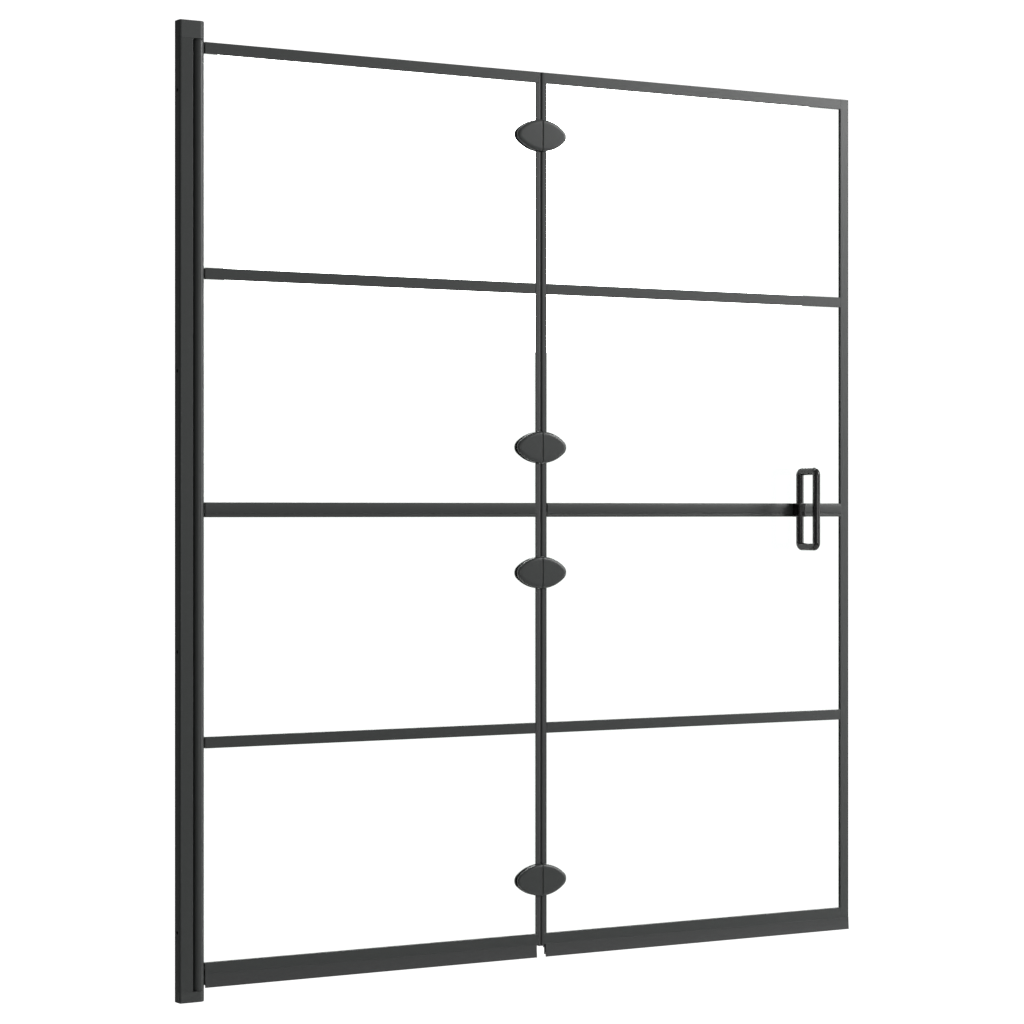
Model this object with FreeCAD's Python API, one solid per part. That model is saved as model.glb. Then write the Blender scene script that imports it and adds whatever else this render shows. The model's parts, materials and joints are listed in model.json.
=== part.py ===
import FreeCAD, Part
import math
import os

os.makedirs("parts", exist_ok=True)

# Folding bath screen with two leaves on one wall profile, in millimetres.
# X runs along the panes from the wall, Y goes through them away from the handle, Z is up.
# The origin is on the wall, at the middle of the wall profile's height.
SCREEN_WIDTH = 1200.0
SCREEN_HEIGHT = 1400.0
FOLD_LINE_X = 608.7

# Clearances
FIT_GAP = 0.2
RUN_GAP = 0.3
BORE_GAP = 0.05

# Wall profile: the channel, its mouth at the wall and the groove before the pivot post
PROFILE_THICKNESS = 18.0
CHANNEL_REACH = 20.8
CHANNEL_WALL = 1.5
CHANNEL_FRONT = 3.5
CHANNEL_EDGE_RADIUS = 3.0
CHANNEL_BACK_RADIUS = 1.5
CHANNEL_LIP = 3.0
POST_GROOVE = 2.2
HEAD_BLOCK_HEIGHT = 25.5
FOOT_BLOCK_HEIGHT = 15.4
CAP_THICKNESS = 2.0
CAP_BEVEL = 1.2
TONGUE_LENGTH = 30.0

# Strip in the channel's front that closes the groove
STRIP_FOOT_WIDTH = 5.2
STRIP_FOOT_THICKNESS = 1.2
STRIP_NECK_WIDTH = 2.4
STRIP_GAP = 0.4

# Rail on the wall, inside the channel
RAIL_REACH = 15.0
RAIL_WALL = 1.8
WALL_HOLE_RADIUS = 2.75
WALL_HOLE_COUNT = 4
WALL_HOLE_PITCH_SHARE = 2 / 7

# Small screws of the wall profile, on the side away from the handle
SCREW_RADIUS = 2.0
SCREW_HEAD_RADIUS = 3.8
SCREW_HEAD_HEIGHT = 2.4
SCREW_BITE = 1.0
SCREW_CAP_WALL = 1.2
ADJUSTING_SCREW_SHARES = (-0.3, 0.0, 0.3)
BLOCK_SCREW_SHARES = (0.3, 0.75)
BLOCK_SCREW_LENGTH = 7.0
SOCKET_SHARE = 0.45

# Pivot of the inner leaf
PIVOT_PIN_RADIUS = 3.0
PIVOT_PIN_LENGTH = 8.0
BUSH_RADIUS = 5.0
BUSH_LENGTH = 10.0
BUSH_FLANGE_RADIUS = 7.5
BUSH_FLANGE_THICKNESS = 1.0
PLUG_THICKNESS = 3.0
PLUG_SPIGOT_LENGTH = 20.0
CHAMBER_RADIUS = 3.2
CHAMBER_OFFSET = 4.0
POST_SLOT_DEPTH = 8.0
POST_GASKET_WALL = 1.5
POST_GASKET_SETBACK = 1.0

# Panes, with the heights that the wall profile leaves free above and below them
GLASS_THICKNESS = 5.0
GLASS_SETBACK = 2.0
PANE_HEAD_DROP = 3.1
DRIP_RISE = 3.3
DRIP_HEIGHT = 19.5
GLASS_HOLE_RADIUS = 5.0

# Glazing bars and rails
BAR_HEIGHT = 16.3
BAR_THICKNESS = 1.5
BAR_BEVEL = 0.5
BAR_WEB = 2.0
BAR_SHARE = 0.2518
BAR_START_GAP = 1.0
MIDDLE_THICKNESS = 2.6
MIDDLE_BEVEL = 1.0
MIDDLE_CROWN = 0.5
MIDDLE_LIP_HEIGHT = 5.1
MIDDLE_LIP_STEP = 0.5
MIDDLE_GROOVE = 0.6
RAIL_END_SETBACK = 4.8
DRIP_GROOVE_DEPTH = 6.0

# Drip seal under each pane
DRIP_LEAN = 1.0
DRIP_WALL = 1.5
DRIP_END_SETBACK = 8.0
DRIP_BACK_HEIGHT = 6.0
DRIP_BLADE_WIDTH = 2.0
DRIP_BLADE_HEIGHT = 16.0

# Seals along the two pane edges at the fold line
SEAM_SEAL_REACH = 10.0
SEAM_SEAL_BACK_REACH = 7.2
SEAM_SEAL_THICKNESS = 8.0
SEAM_SEAL_NOSE_RADIUS = 3.0
SEAM_SEAL_FLANK_RADIUS = 1.0
SEAM_SEAL_TAIL = 2.5

# Eye-shaped hinges: plain face plates on the handle side, leaves with the knuckles behind
HINGE_LENGTH = 87.0
HINGE_HEIGHT = 48.4
HINGE_TIP_RADIUS = 11.8
FACE_THICKNESS = 5.7
FACE_RIM_RADIUS = 2.8
FACE_SEAM_BEVEL = 0.8
HINGE_SHARES = (0.4273, 0.0698, -0.0737, -0.4260)
PAD_THICKNESS = 1.0
PAD_INSET = 0.8
LEAF_THICKNESS = 3.5
LEAF_BEVEL = 1.0
LEAF_SETBACK = 1.0
BARREL_OFFSET = 0.8
BARREL_RADIUS = 4.8
BARREL_RELIEF = 0.6
KNUCKLE_LENGTH = 30.0
MIDDLE_KNUCKLE_LENGTH = 14.6
HINGE_PIN_RADIUS = 2.5
HINGE_SCREW_RADIUS = 2.5
HINGE_SCREW_HEAD_RADIUS = 4.5
HINGE_SCREW_HEAD_HEIGHT = 2.0
HINGE_SCREW_BITE = 4.0
HINGE_SCREW_OFFSET = 18.0
HINGE_SCREW_SPREAD = 9.0

# Loop handle and its saddle
HANDLE_SETBACK = 106.8
HANDLE_BAR_RADIUS = 6.1
HANDLE_HEIGHT = 133.0
HANDLE_DEPTH = 43.5
HANDLE_STANDOFF = 12.0
HANDLE_BEND = 6.5
HANDLE_RISE = 1.5
SADDLE_WIDTH = 14.4
SADDLE_HEIGHT = 22.0
SADDLE_FRONT_WALL = 2.4
SADDLE_EDGE_RADIUS = 2.5
GRUB_RADIUS = 2.0
GRUB_DROP = 5.5
HANDLE_BOLT_RADIUS = 3.0
HANDLE_BOLT_HEAD_RADIUS = 5.0
HANDLE_BOLT_HEAD_HEIGHT = 3.0
ROSETTE_RADIUS = 11.0
ROSETTE_THICKNESS = 3.0
ROSETTE_BEVEL = 1.0

# Places that follow from the sizes above
HALF_PROFILE = PROFILE_THICKNESS / 2
POST_RADIUS = HALF_PROFILE
PIVOT_X = CHANNEL_REACH + POST_GROOVE + POST_RADIUS
POST_EDGE_X = PIVOT_X + POST_RADIUS
TOP_Z = SCREEN_HEIGHT / 2
BOTTOM_Z = -SCREEN_HEIGHT / 2
HEAD_FACE_Z = TOP_Z - HEAD_BLOCK_HEIGHT
FOOT_FACE_Z = BOTTOM_Z + FOOT_BLOCK_HEIGHT
PANE_TOP_Z = HEAD_FACE_Z - PANE_HEAD_DROP
DRIP_BOTTOM_Z = FOOT_FACE_Z + DRIP_RISE
PANE_BOTTOM_Z = DRIP_BOTTOM_Z + DRIP_HEIGHT
PANE_HEIGHT = PANE_TOP_Z - PANE_BOTTOM_Z
PANE_MIDDLE_Z = (PANE_TOP_Z + PANE_BOTTOM_Z) / 2
GLASS_TOP_Z = PANE_TOP_Z - BAR_WEB
GLASS_BOTTOM_Z = PANE_BOTTOM_Z + DRIP_GROOVE_DEPTH + BAR_WEB
HALF_GLASS = GLASS_THICKNESS / 2
HALF_BAR = HALF_GLASS + BAR_THICKNESS
MIDDLE_FRONT_Y = -HALF_GLASS - MIDDLE_THICKNESS
BAR_START_X = POST_EDGE_X + BAR_START_GAP
EDGE_RAIL_X = SCREEN_WIDTH - BAR_HEIGHT
GLASS_END_X = SCREEN_WIDTH - BAR_THICKNESS
HANDLE_X = SCREEN_WIDTH - HANDLE_SETBACK
HANDLE_Z = PANE_MIDDLE_Z - MIDDLE_LIP_HEIGHT / 2
PAD_FACE = HALF_GLASS + PAD_THICKNESS
FACE_FRONT_Y = -PAD_FACE - FACE_THICKNESS
LEAF_BACK_Y = PAD_FACE + LEAF_THICKNESS
FOLD_AXIS_Y = LEAF_BACK_Y + BARREL_OFFSET
CHANNEL_MOUTH = HALF_PROFILE - CHANNEL_LIP
RAIL_HALF = CHANNEL_MOUTH - RUN_GAP
CAVITY_END_X = CHANNEL_REACH - CHANNEL_FRONT
CAVITY_HALF = HALF_PROFILE - CHANNEL_WALL
SADDLE_BACK_Y = -PAD_FACE
LOOP_BACK_Y = -HALF_GLASS - HANDLE_STANDOFF
LOOP_FRONT_Y = LOOP_BACK_Y - HANDLE_DEPTH
SADDLE_FRONT_Y = LOOP_BACK_Y - HANDLE_BAR_RADIUS - SADDLE_FRONT_WALL
HINGE_HEIGHTS = [PANE_MIDDLE_Z + share * PANE_HEIGHT for share in HINGE_SHARES]

X_AXIS = FreeCAD.Vector(1, 0, 0)
Y_AXIS = FreeCAD.Vector(0, 1, 0)
Z_AXIS = FreeCAD.Vector(0, 0, 1)


def point(x, y, z):
    return FreeCAD.Vector(x, y, z)


def box(x0, x1, y0, y1, z0, z1):
    return Part.makeBox(x1 - x0, y1 - y0, z1 - z0, point(x0, y0, z0))


def disc_z(x, y, z0, z1, radius):
    return Part.makeCylinder(radius, z1 - z0, point(x, y, z0), Z_AXIS)


def disc_y(x, z, y0, y1, radius):
    return Part.makeCylinder(radius, y1 - y0, point(x, y0, z), Y_AXIS)


def disc_x(y, z, x0, x1, radius):
    return Part.makeCylinder(radius, x1 - x0, point(x0, y, z), X_AXIS)


def prism_x(outline, x0, x1):
    corners = [point(x0, y, z) for y, z in outline]
    face = Part.Face(Part.makePolygon(corners + corners[:1]))
    return face.extrude(point(x1 - x0, 0, 0))


def behind(shape):
    return shape.mirror(point(0, 0, 0), Y_AXIS)


def joined(shapes):
    whole = shapes[0].fuse(shapes[1:])
    return whole.removeSplitter()


def edges_at_y(shape, y):
    return [e for e in shape.Edges if abs(e.BoundBox.YMin - y) + abs(e.BoundBox.YMax - y) < BORE_GAP]


def edges_at_z(shape, z):
    return [e for e in shape.Edges if abs(e.BoundBox.ZMin - z) + abs(e.BoundBox.ZMax - z) < BORE_GAP]


def upright_edges(shape, x):
    return [e for e in shape.Edges if abs(e.BoundBox.XMin - x) + abs(e.BoundBox.XMax - x) < BORE_GAP
            and e.BoundBox.ZLength > e.BoundBox.YLength]


def socket(radius):
    corners = [math.radians(60 * k) for k in range(7)]
    ring = [point(radius * math.cos(a), radius * math.sin(a), 0) for a in corners]
    return Part.Face(Part.makePolygon(ring))


def screw_from_back(x, z, y_tip, y_seat, radius, head_radius, head_height):
    shank = disc_y(x, z, y_tip, y_seat, radius)
    head = disc_y(x, z, y_seat, y_seat + head_height, head_radius)
    key = socket(head_radius * SOCKET_SHARE).extrude(point(0, 0, head_height / 2))
    key.rotate(point(0, 0, 0), X_AXIS, 90)
    key.translate(point(x, y_seat + head_height, z))
    return joined([shank, head]).cut(key)


# Wall profile

def profile_body(z0, z1):
    # full outline of the profile: two rounded edges at the wall, half-round at the pivot
    r = CHANNEL_EDGE_RADIUS
    back_r = CHANNEL_BACK_RADIUS
    side = HALF_PROFILE - r
    back = HALF_PROFILE - back_r
    return joined([
        box(r, PIVOT_X, -HALF_PROFILE, HALF_PROFILE, z0, z1),
        box(0, r, -side, back, z0, z1),
        box(back_r, r, back, HALF_PROFILE, z0, z1),
        disc_z(r, -side, z0, z1, r),
        disc_z(back_r, back, z0, z1, back_r),
        disc_z(PIVOT_X, 0, z0, z1, HALF_PROFILE),
    ])


def wall_hole_heights():
    pitch = SCREEN_HEIGHT * WALL_HOLE_PITCH_SHARE
    return [(k - (WALL_HOLE_COUNT - 1) / 2) * pitch for k in range(WALL_HOLE_COUNT)]


def adjusting_heights():
    return [share * SCREEN_HEIGHT for share in ADJUSTING_SCREW_SHARES]


def block_screw_heights():
    drops = [share * TONGUE_LENGTH for share in BLOCK_SCREW_SHARES]
    return [HEAD_FACE_Z - d for d in drops] + [FOOT_FACE_Z + d for d in drops]


def screw_x():
    return (CHANNEL_WALL + CAVITY_END_X) / 2


def wall_rail():
    z0 = FOOT_FACE_Z + TONGUE_LENGTH + FIT_GAP
    z1 = HEAD_FACE_Z - TONGUE_LENGTH - FIT_GAP
    rail = box(0, RAIL_REACH, -RAIL_HALF, RAIL_HALF, z0, z1)
    inner = RAIL_HALF - RAIL_WALL
    rail = rail.cut(box(RAIL_WALL, RAIL_REACH, -inner, inner, z0, z1))
    for z in wall_hole_heights():
        rail = rail.cut(disc_x(0, z, 0, RAIL_WALL, WALL_HOLE_RADIUS))
    for z in adjusting_heights():
        rail = rail.cut(disc_y(screw_x(), z, 0, RAIL_HALF, SCREW_RADIUS + BORE_GAP))
    return rail


def wall_channel():
    z0 = FOOT_FACE_Z
    z1 = HEAD_FACE_Z
    channel = profile_body(z0, z1).common(
        box(0, CHANNEL_REACH, -HALF_PROFILE, HALF_PROFILE, z0, z1))
    channel = channel.cut(box(CHANNEL_WALL, CAVITY_END_X, -CAVITY_HALF, CAVITY_HALF, z0, z1))
    channel = channel.cut(box(0, CHANNEL_WALL, -CHANNEL_MOUTH, CHANNEL_MOUTH, z0, z1))
    channel = channel.cut(strip_shape(z0, z1, CHANNEL_REACH))
    for z in adjusting_heights() + block_screw_heights():
        channel = channel.cut(disc_y(screw_x(), z, 0, HALF_PROFILE, SCREW_RADIUS + FIT_GAP))
    return channel


def strip_shape(z0, z1, nose_x):
    foot_x = CAVITY_END_X + (CHANNEL_FRONT - STRIP_FOOT_THICKNESS) / 2
    half_foot = STRIP_FOOT_WIDTH / 2
    half_neck = STRIP_NECK_WIDTH / 2
    return joined([
        box(foot_x, foot_x + STRIP_FOOT_THICKNESS, -half_foot, half_foot, z0, z1),
        box(foot_x, nose_x, -half_neck, half_neck, z0, z1),
    ])


def channel_strip():
    return strip_shape(FOOT_FACE_Z, HEAD_FACE_Z, CHANNEL_REACH + POST_GROOVE - STRIP_GAP)


def end_block(face_z, outer_z, up):
    # up is 1 for the head block and -1 for the foot block
    block = profile_body(min(face_z, outer_z), max(face_z, outer_z))
    tongue_z = face_z - up * TONGUE_LENGTH
    low = min(face_z, tongue_z)
    high = max(face_z, tongue_z)
    side = CAVITY_HALF - FIT_GAP
    tongue = box(CHANNEL_WALL + FIT_GAP, CAVITY_END_X - FIT_GAP, -side, side, low, high)
    mouth_filler = box(0, CHANNEL_WALL + FIT_GAP, -RAIL_HALF, RAIL_HALF, low, high)
    block = joined([block, tongue, mouth_filler])
    bore_z = face_z + up * (BUSH_LENGTH + FIT_GAP)
    block = block.cut(disc_z(PIVOT_X, 0, min(face_z, bore_z), max(face_z, bore_z), BUSH_RADIUS + BORE_GAP))
    seat_z = face_z + up * (BUSH_FLANGE_THICKNESS - RUN_GAP)
    block = block.cut(disc_z(PIVOT_X, 0, min(face_z, seat_z), max(face_z, seat_z),
                             BUSH_FLANGE_RADIUS + BORE_GAP))
    for z in block_screw_heights():
        if abs(z - face_z) < TONGUE_LENGTH:
            tip_y = HALF_PROFILE - BLOCK_SCREW_LENGTH
            block = block.cut(disc_y(screw_x(), z, tip_y, HALF_PROFILE, SCREW_RADIUS + BORE_GAP))
    return block


def end_cap(z_inner, z_outer):
    cap = profile_body(min(z_inner, z_outer), max(z_inner, z_outer))
    return cap.makeChamfer(CAP_BEVEL, edges_at_z(cap, z_outer))


def pivot_bush(face_z, up):
    low_face = face_z - up * RUN_GAP
    seat_z = low_face + up * BUSH_FLANGE_THICKNESS
    end_z = face_z + up * BUSH_LENGTH
    bush = joined([
        disc_z(PIVOT_X, 0, min(low_face, seat_z), max(low_face, seat_z), BUSH_FLANGE_RADIUS),
        disc_z(PIVOT_X, 0, min(low_face, end_z), max(low_face, end_z), BUSH_RADIUS),
    ])
    return bush.cut(disc_z(PIVOT_X, 0, min(low_face, end_z), max(low_face, end_z),
                           PIVOT_PIN_RADIUS + BORE_GAP))


def adjusting_screws():
    tip_y = RAIL_HALF - RAIL_WALL - SCREW_BITE
    return [screw_from_back(screw_x(), z, tip_y, HALF_PROFILE, SCREW_RADIUS, SCREW_HEAD_RADIUS,
                            SCREW_HEAD_HEIGHT) for z in adjusting_heights()]


def block_screws():
    tip_y = HALF_PROFILE - BLOCK_SCREW_LENGTH + FIT_GAP
    return [screw_from_back(screw_x(), z, tip_y, HALF_PROFILE, SCREW_RADIUS, SCREW_HEAD_RADIUS,
                            SCREW_HEAD_HEIGHT) for z in block_screw_heights()]


def screw_caps():
    caps = []
    inner = SCREW_HEAD_RADIUS + FIT_GAP
    roof_y = HALF_PROFILE + SCREW_HEAD_HEIGHT + FIT_GAP
    outer_y = roof_y + SCREW_CAP_WALL
    for z in adjusting_heights():
        cap = disc_y(screw_x(), z, HALF_PROFILE, outer_y, inner + SCREW_CAP_WALL)
        cap = cap.makeFillet(SCREW_CAP_WALL / 2, edges_at_y(cap, outer_y))
        caps.append(cap.cut(disc_y(screw_x(), z, HALF_PROFILE, roof_y, inner)))
    return caps


# Pivot post

def post_end(face_z, up):
    return face_z - up * (RUN_GAP + RUN_GAP + PLUG_THICKNESS)


def pivot_post():
    z0 = post_end(FOOT_FACE_Z, -1)
    z1 = post_end(HEAD_FACE_Z, 1)
    post = disc_z(PIVOT_X, 0, z0, z1, POST_RADIUS)
    half_slot = HALF_GLASS + POST_GASKET_WALL
    post = post.cut(box(POST_EDGE_X - POST_SLOT_DEPTH, POST_EDGE_X, -half_slot, half_slot, z0, z1))
    return post.cut(disc_z(PIVOT_X - CHAMBER_OFFSET, 0, z0, z1, CHAMBER_RADIUS))


def pivot_plug(face_z, up):
    outer_z = face_z - up * (RUN_GAP + RUN_GAP)
    inner_z = post_end(face_z, up)
    pin_z = outer_z + up * PIVOT_PIN_LENGTH
    spigot_z = inner_z - up * PLUG_SPIGOT_LENGTH
    return joined([
        disc_z(PIVOT_X, 0, min(inner_z, outer_z), max(inner_z, outer_z), POST_RADIUS),
        disc_z(PIVOT_X, 0, min(inner_z, pin_z), max(inner_z, pin_z), PIVOT_PIN_RADIUS),
        disc_z(PIVOT_X - CHAMBER_OFFSET, 0, min(spigot_z, outer_z), max(spigot_z, outer_z),
               CHAMBER_RADIUS - BORE_GAP),
    ])


def post_gasket():
    half_slot = HALF_GLASS + POST_GASKET_WALL
    x0 = POST_EDGE_X - POST_SLOT_DEPTH
    x1 = POST_EDGE_X - POST_GASKET_SETBACK
    gasket = box(x0, x1, -half_slot, half_slot, GLASS_BOTTOM_Z, GLASS_TOP_Z)
    return gasket.cut(box(x0 + POST_GASKET_WALL, x1, -HALF_GLASS, HALF_GLASS, GLASS_BOTTOM_Z, GLASS_TOP_Z))


# Panes

def hinge_screw_places(side):
    x = FOLD_LINE_X + side * HINGE_SCREW_OFFSET
    return [(x, z + dz) for z in HINGE_HEIGHTS for dz in (-HINGE_SCREW_SPREAD, HINGE_SCREW_SPREAD)]


def glass_pane(side):
    if side < 0:
        x0 = POST_EDGE_X - POST_SLOT_DEPTH + POST_GASKET_WALL
        x1 = FOLD_LINE_X - GLASS_SETBACK
    else:
        x0 = FOLD_LINE_X + GLASS_SETBACK
        x1 = GLASS_END_X
    pane = box(x0, x1, -HALF_GLASS, HALF_GLASS, GLASS_BOTTOM_Z, GLASS_TOP_Z)
    for x, z in hinge_screw_places(side):
        pane = pane.cut(disc_y(x, z, -HALF_GLASS, HALF_GLASS, GLASS_HOLE_RADIUS))
    if side > 0:
        pane = pane.cut(disc_y(HANDLE_X, HANDLE_Z, -HALF_GLASS, HALF_GLASS, GLASS_HOLE_RADIUS))
    return pane


def bar_span(side):
    # from the post or from the edge rail to the seal at the fold line
    end = SEAM_SEAL_REACH + RUN_GAP
    if side < 0:
        return BAR_START_X, FOLD_LINE_X - end
    return FOLD_LINE_X + end, EDGE_RAIL_X


def rail_span(side, setback=RAIL_END_SETBACK):
    if side < 0:
        return BAR_START_X, FOLD_LINE_X - setback
    return FOLD_LINE_X + setback, EDGE_RAIL_X


def flat_bar(side, z):
    z0 = z - BAR_HEIGHT / 2
    z1 = z + BAR_HEIGHT / 2
    outline = [(-HALF_GLASS, z0), (-HALF_BAR + BAR_BEVEL, z0), (-HALF_BAR, z0 + BAR_BEVEL),
               (-HALF_BAR, z1 - BAR_BEVEL), (-HALF_BAR + BAR_BEVEL, z1), (-HALF_GLASS, z1)]
    x0, x1 = bar_span(side)
    return prism_x(outline, x0, x1)


def middle_bar(side):
    # a crowned bar over a narrow lip, with a fine groove between them
    x0, x1 = bar_span(side)
    z0 = PANE_MIDDLE_Z - BAR_HEIGHT / 2
    z1 = PANE_MIDDLE_Z + BAR_HEIGHT / 2
    face = MIDDLE_FRONT_Y
    edge = face + MIDDLE_BEVEL
    low = z0 - MIDDLE_LIP_HEIGHT
    groove_z = z0 - MIDDLE_GROOVE
    lip = face + MIDDLE_LIP_STEP
    crown = Part.Arc(point(x0, face, z0 + MIDDLE_BEVEL), point(x0, face - MIDDLE_CROWN, PANE_MIDDLE_Z),
                     point(x0, face, z1 - MIDDLE_BEVEL)).toShape()
    rest = Part.makePolygon([point(x0, y, z) for y, z in (
        (face, z1 - MIDDLE_BEVEL), (edge, z1), (-HALF_GLASS, z1), (-HALF_GLASS, low),
        (edge, low), (lip, low + MIDDLE_LIP_STEP), (lip, groove_z - MIDDLE_GROOVE),
        (edge, groove_z), (edge, z0), (face, z0 + MIDDLE_BEVEL))])
    section = Part.Face(Part.Wire([crown] + rest.Edges))
    bar = section.extrude(point(x1 - x0, 0, 0))
    if side < 0:
        return bar
    half = SADDLE_WIDTH / 2 + FIT_GAP
    notch = box(HANDLE_X - half, HANDLE_X + half, SADDLE_FRONT_Y, -HALF_GLASS, low, z1)
    return bar.cut(notch)


def middle_back_bar(side):
    x0, x1 = bar_span(side)
    z0 = PANE_MIDDLE_Z - BAR_HEIGHT / 2 - MIDDLE_LIP_HEIGHT
    z1 = PANE_MIDDLE_Z + BAR_HEIGHT / 2
    outline = [(HALF_GLASS, z0), (HALF_BAR - BAR_BEVEL, z0), (HALF_BAR, z0 + BAR_BEVEL),
               (HALF_BAR, z1 - BAR_BEVEL), (HALF_BAR - BAR_BEVEL, z1), (HALF_GLASS, z1)]
    bar = prism_x(outline, x0, x1)
    if side < 0:
        return bar
    half = ROSETTE_RADIUS + FIT_GAP
    return bar.cut(box(HANDLE_X - half, HANDLE_X + half, HALF_GLASS, HALF_BAR, z0, z1))


def rail_outline(z0, z1):
    shy = HALF_BAR - BAR_BEVEL
    return [(-shy, z0), (-HALF_BAR, z0 + BAR_BEVEL), (-HALF_BAR, z1 - BAR_BEVEL), (-shy, z1),
            (shy, z1), (HALF_BAR, z1 - BAR_BEVEL), (HALF_BAR, z0 + BAR_BEVEL), (shy, z0)]


def top_rail(side):
    x0, x1 = rail_span(side)
    z0 = PANE_TOP_Z - BAR_HEIGHT
    rail = prism_x(rail_outline(z0, PANE_TOP_Z), x0, x1)
    return rail.cut(box(x0, x1, -HALF_GLASS, HALF_GLASS, z0, GLASS_TOP_Z))


def drip_rail(side):
    x0, x1 = rail_span(side)
    z1 = PANE_BOTTOM_Z + BAR_HEIGHT
    rail = prism_x(rail_outline(PANE_BOTTOM_Z, z1), x0, x1)
    rail = rail.cut(box(x0, x1, -HALF_GLASS, HALF_GLASS, GLASS_BOTTOM_Z, z1))
    return rail.cut(box(x0, x1, -HALF_GLASS, HALF_GLASS, PANE_BOTTOM_Z, PANE_BOTTOM_Z + DRIP_GROOVE_DEPTH))


def drip_seal(side):
    x0, foot_x1 = rail_span(side, DRIP_END_SETBACK)
    x1 = foot_x1 if side < 0 else SCREEN_WIDTH
    top = PANE_BOTTOM_Z
    under = top - DRIP_WALL
    back = top - DRIP_BACK_HEIGHT
    blade = top - DRIP_BLADE_HEIGHT
    half_blade = DRIP_BLADE_WIDTH / 2
    front = -HALF_BAR - DRIP_LEAN
    inner_back = HALF_BAR - DRIP_WALL
    body = prism_x([
        (-HALF_BAR, top), (front, DRIP_BOTTOM_Z), (front + DRIP_WALL, DRIP_BOTTOM_Z),
        (-HALF_BAR + DRIP_WALL, under), (-half_blade, under), (-half_blade, blade), (half_blade, blade),
        (half_blade, under), (inner_back, under), (inner_back, back), (HALF_BAR, back),
        (HALF_BAR, top)], x0, x1)
    half_foot = HALF_GLASS - FIT_GAP
    foot = box(x0, foot_x1, -half_foot, half_foot, under, top + DRIP_GROOVE_DEPTH - FIT_GAP)
    return joined([body, foot])


def edge_rail():
    rail = box(EDGE_RAIL_X, SCREEN_WIDTH, -HALF_BAR, HALF_BAR, PANE_BOTTOM_Z, PANE_TOP_Z)
    rail = rail.makeChamfer(BAR_BEVEL, upright_edges(rail, SCREEN_WIDTH))
    return rail.cut(box(EDGE_RAIL_X, GLASS_END_X, -HALF_GLASS, HALF_GLASS, GLASS_BOTTOM_Z, GLASS_TOP_Z))


def seam_seals(side):
    # each length runs from one hinge to the next, and its ends follow their almond outline
    levels = [PANE_TOP_Z] + HINGE_HEIGHTS + [PANE_BOTTOM_Z - SEAM_SEAL_TAIL]
    flank = FOLD_LINE_X + side * SEAM_SEAL_REACH
    back_flank = FOLD_LINE_X + side * SEAM_SEAL_BACK_REACH
    nose = FOLD_LINE_X + side * RUN_GAP / 2
    rail_end = FOLD_LINE_X + side * (RAIL_END_SETBACK - FIT_GAP)
    glass_end = FOLD_LINE_X + side * GLASS_SETBACK
    half = SEAM_SEAL_THICKNESS / 2
    foot_z = PANE_BOTTOM_Z + BAR_HEIGHT + FIT_GAP
    head_z = PANE_TOP_Z - BAR_HEIGHT - FIT_GAP
    rail_x0 = min(flank, rail_end)
    rail_x1 = max(flank, rail_end)
    seals = []
    for z1, z0 in zip(levels, levels[1:]):
        seal = box(min(flank, nose), max(flank, nose), -half, half, z0, z1)
        seal = seal.makeFillet(SEAM_SEAL_NOSE_RADIUS, upright_edges(seal, nose))
        seal = seal.makeFillet(SEAM_SEAL_FLANK_RADIUS, upright_edges(seal, flank))
        seal = seal.cut(box(min(flank, glass_end), max(flank, glass_end), -HALF_GLASS, HALF_GLASS,
                            max(z0, GLASS_BOTTOM_Z), min(z1, GLASS_TOP_Z)))
        seal = seal.cut(box(min(flank, back_flank), max(flank, back_flank), HALF_GLASS, half, z0, z1))
        for z in HINGE_HEIGHTS:
            if z in (z0, z1):
                seal = seal.cut(eye(z, -RUN_GAP, -half, half))
        if z1 > head_z:
            seal = seal.cut(box(rail_x0, rail_x1, -half, half, head_z, z1))
        if z0 < foot_z:
            seal = seal.cut(box(rail_x0, rail_x1, -half, half, z0, foot_z))
        seals.append(seal)
    return seals


# Hinges

def eye(z, inset, y0, y1):
    # an almond outline: two long arcs that run into the two tip arcs without a corner
    tip = HINGE_TIP_RADIUS - inset
    high = HINGE_HEIGHT / 2 - inset
    tip_x = HINGE_LENGTH / 2 - HINGE_TIP_RADIUS
    sweep = (tip_x ** 2 + high ** 2 - tip ** 2) / (2 * (high - tip))
    lean = math.atan2(sweep - high, tip_x)
    x = tip_x + tip * math.cos(lean)
    dz = tip * math.sin(lean)

    def at(dx, rise):
        return point(FOLD_LINE_X + dx, y0, z + rise)

    arcs = [
        Part.Arc(at(-x, dz), at(0, high), at(x, dz)).toShape(),
        Part.Arc(at(x, dz), at(tip_x + tip, 0), at(x, -dz)).toShape(),
        Part.Arc(at(x, -dz), at(0, -high), at(-x, -dz)).toShape(),
        Part.Arc(at(-x, -dz), at(-tip_x - tip, 0), at(-x, dz)).toShape(),
    ]
    return Part.Face(Part.Wire(arcs)).extrude(point(0, y1 - y0, 0))


def half_of(shape, side, setback):
    near = FOLD_LINE_X + side * setback
    far = FOLD_LINE_X + side * HINGE_LENGTH
    b = shape.BoundBox
    return shape.common(box(min(near, far), max(near, far), b.YMin, b.YMax, b.ZMin, b.ZMax))


def knuckle_zones(side, z):
    # the inner leaf carries the two end knuckles, the outer leaf the middle one
    half_middle = MIDDLE_KNUCKLE_LENGTH / 2
    half_all = KNUCKLE_LENGTH / 2
    middle = [(z - half_middle, z + half_middle)]
    ends = [(z + half_middle + RUN_GAP, z + half_all), (z - half_all, z - half_middle - RUN_GAP)]
    if side < 0:
        return ends, middle
    return middle, ends


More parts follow.
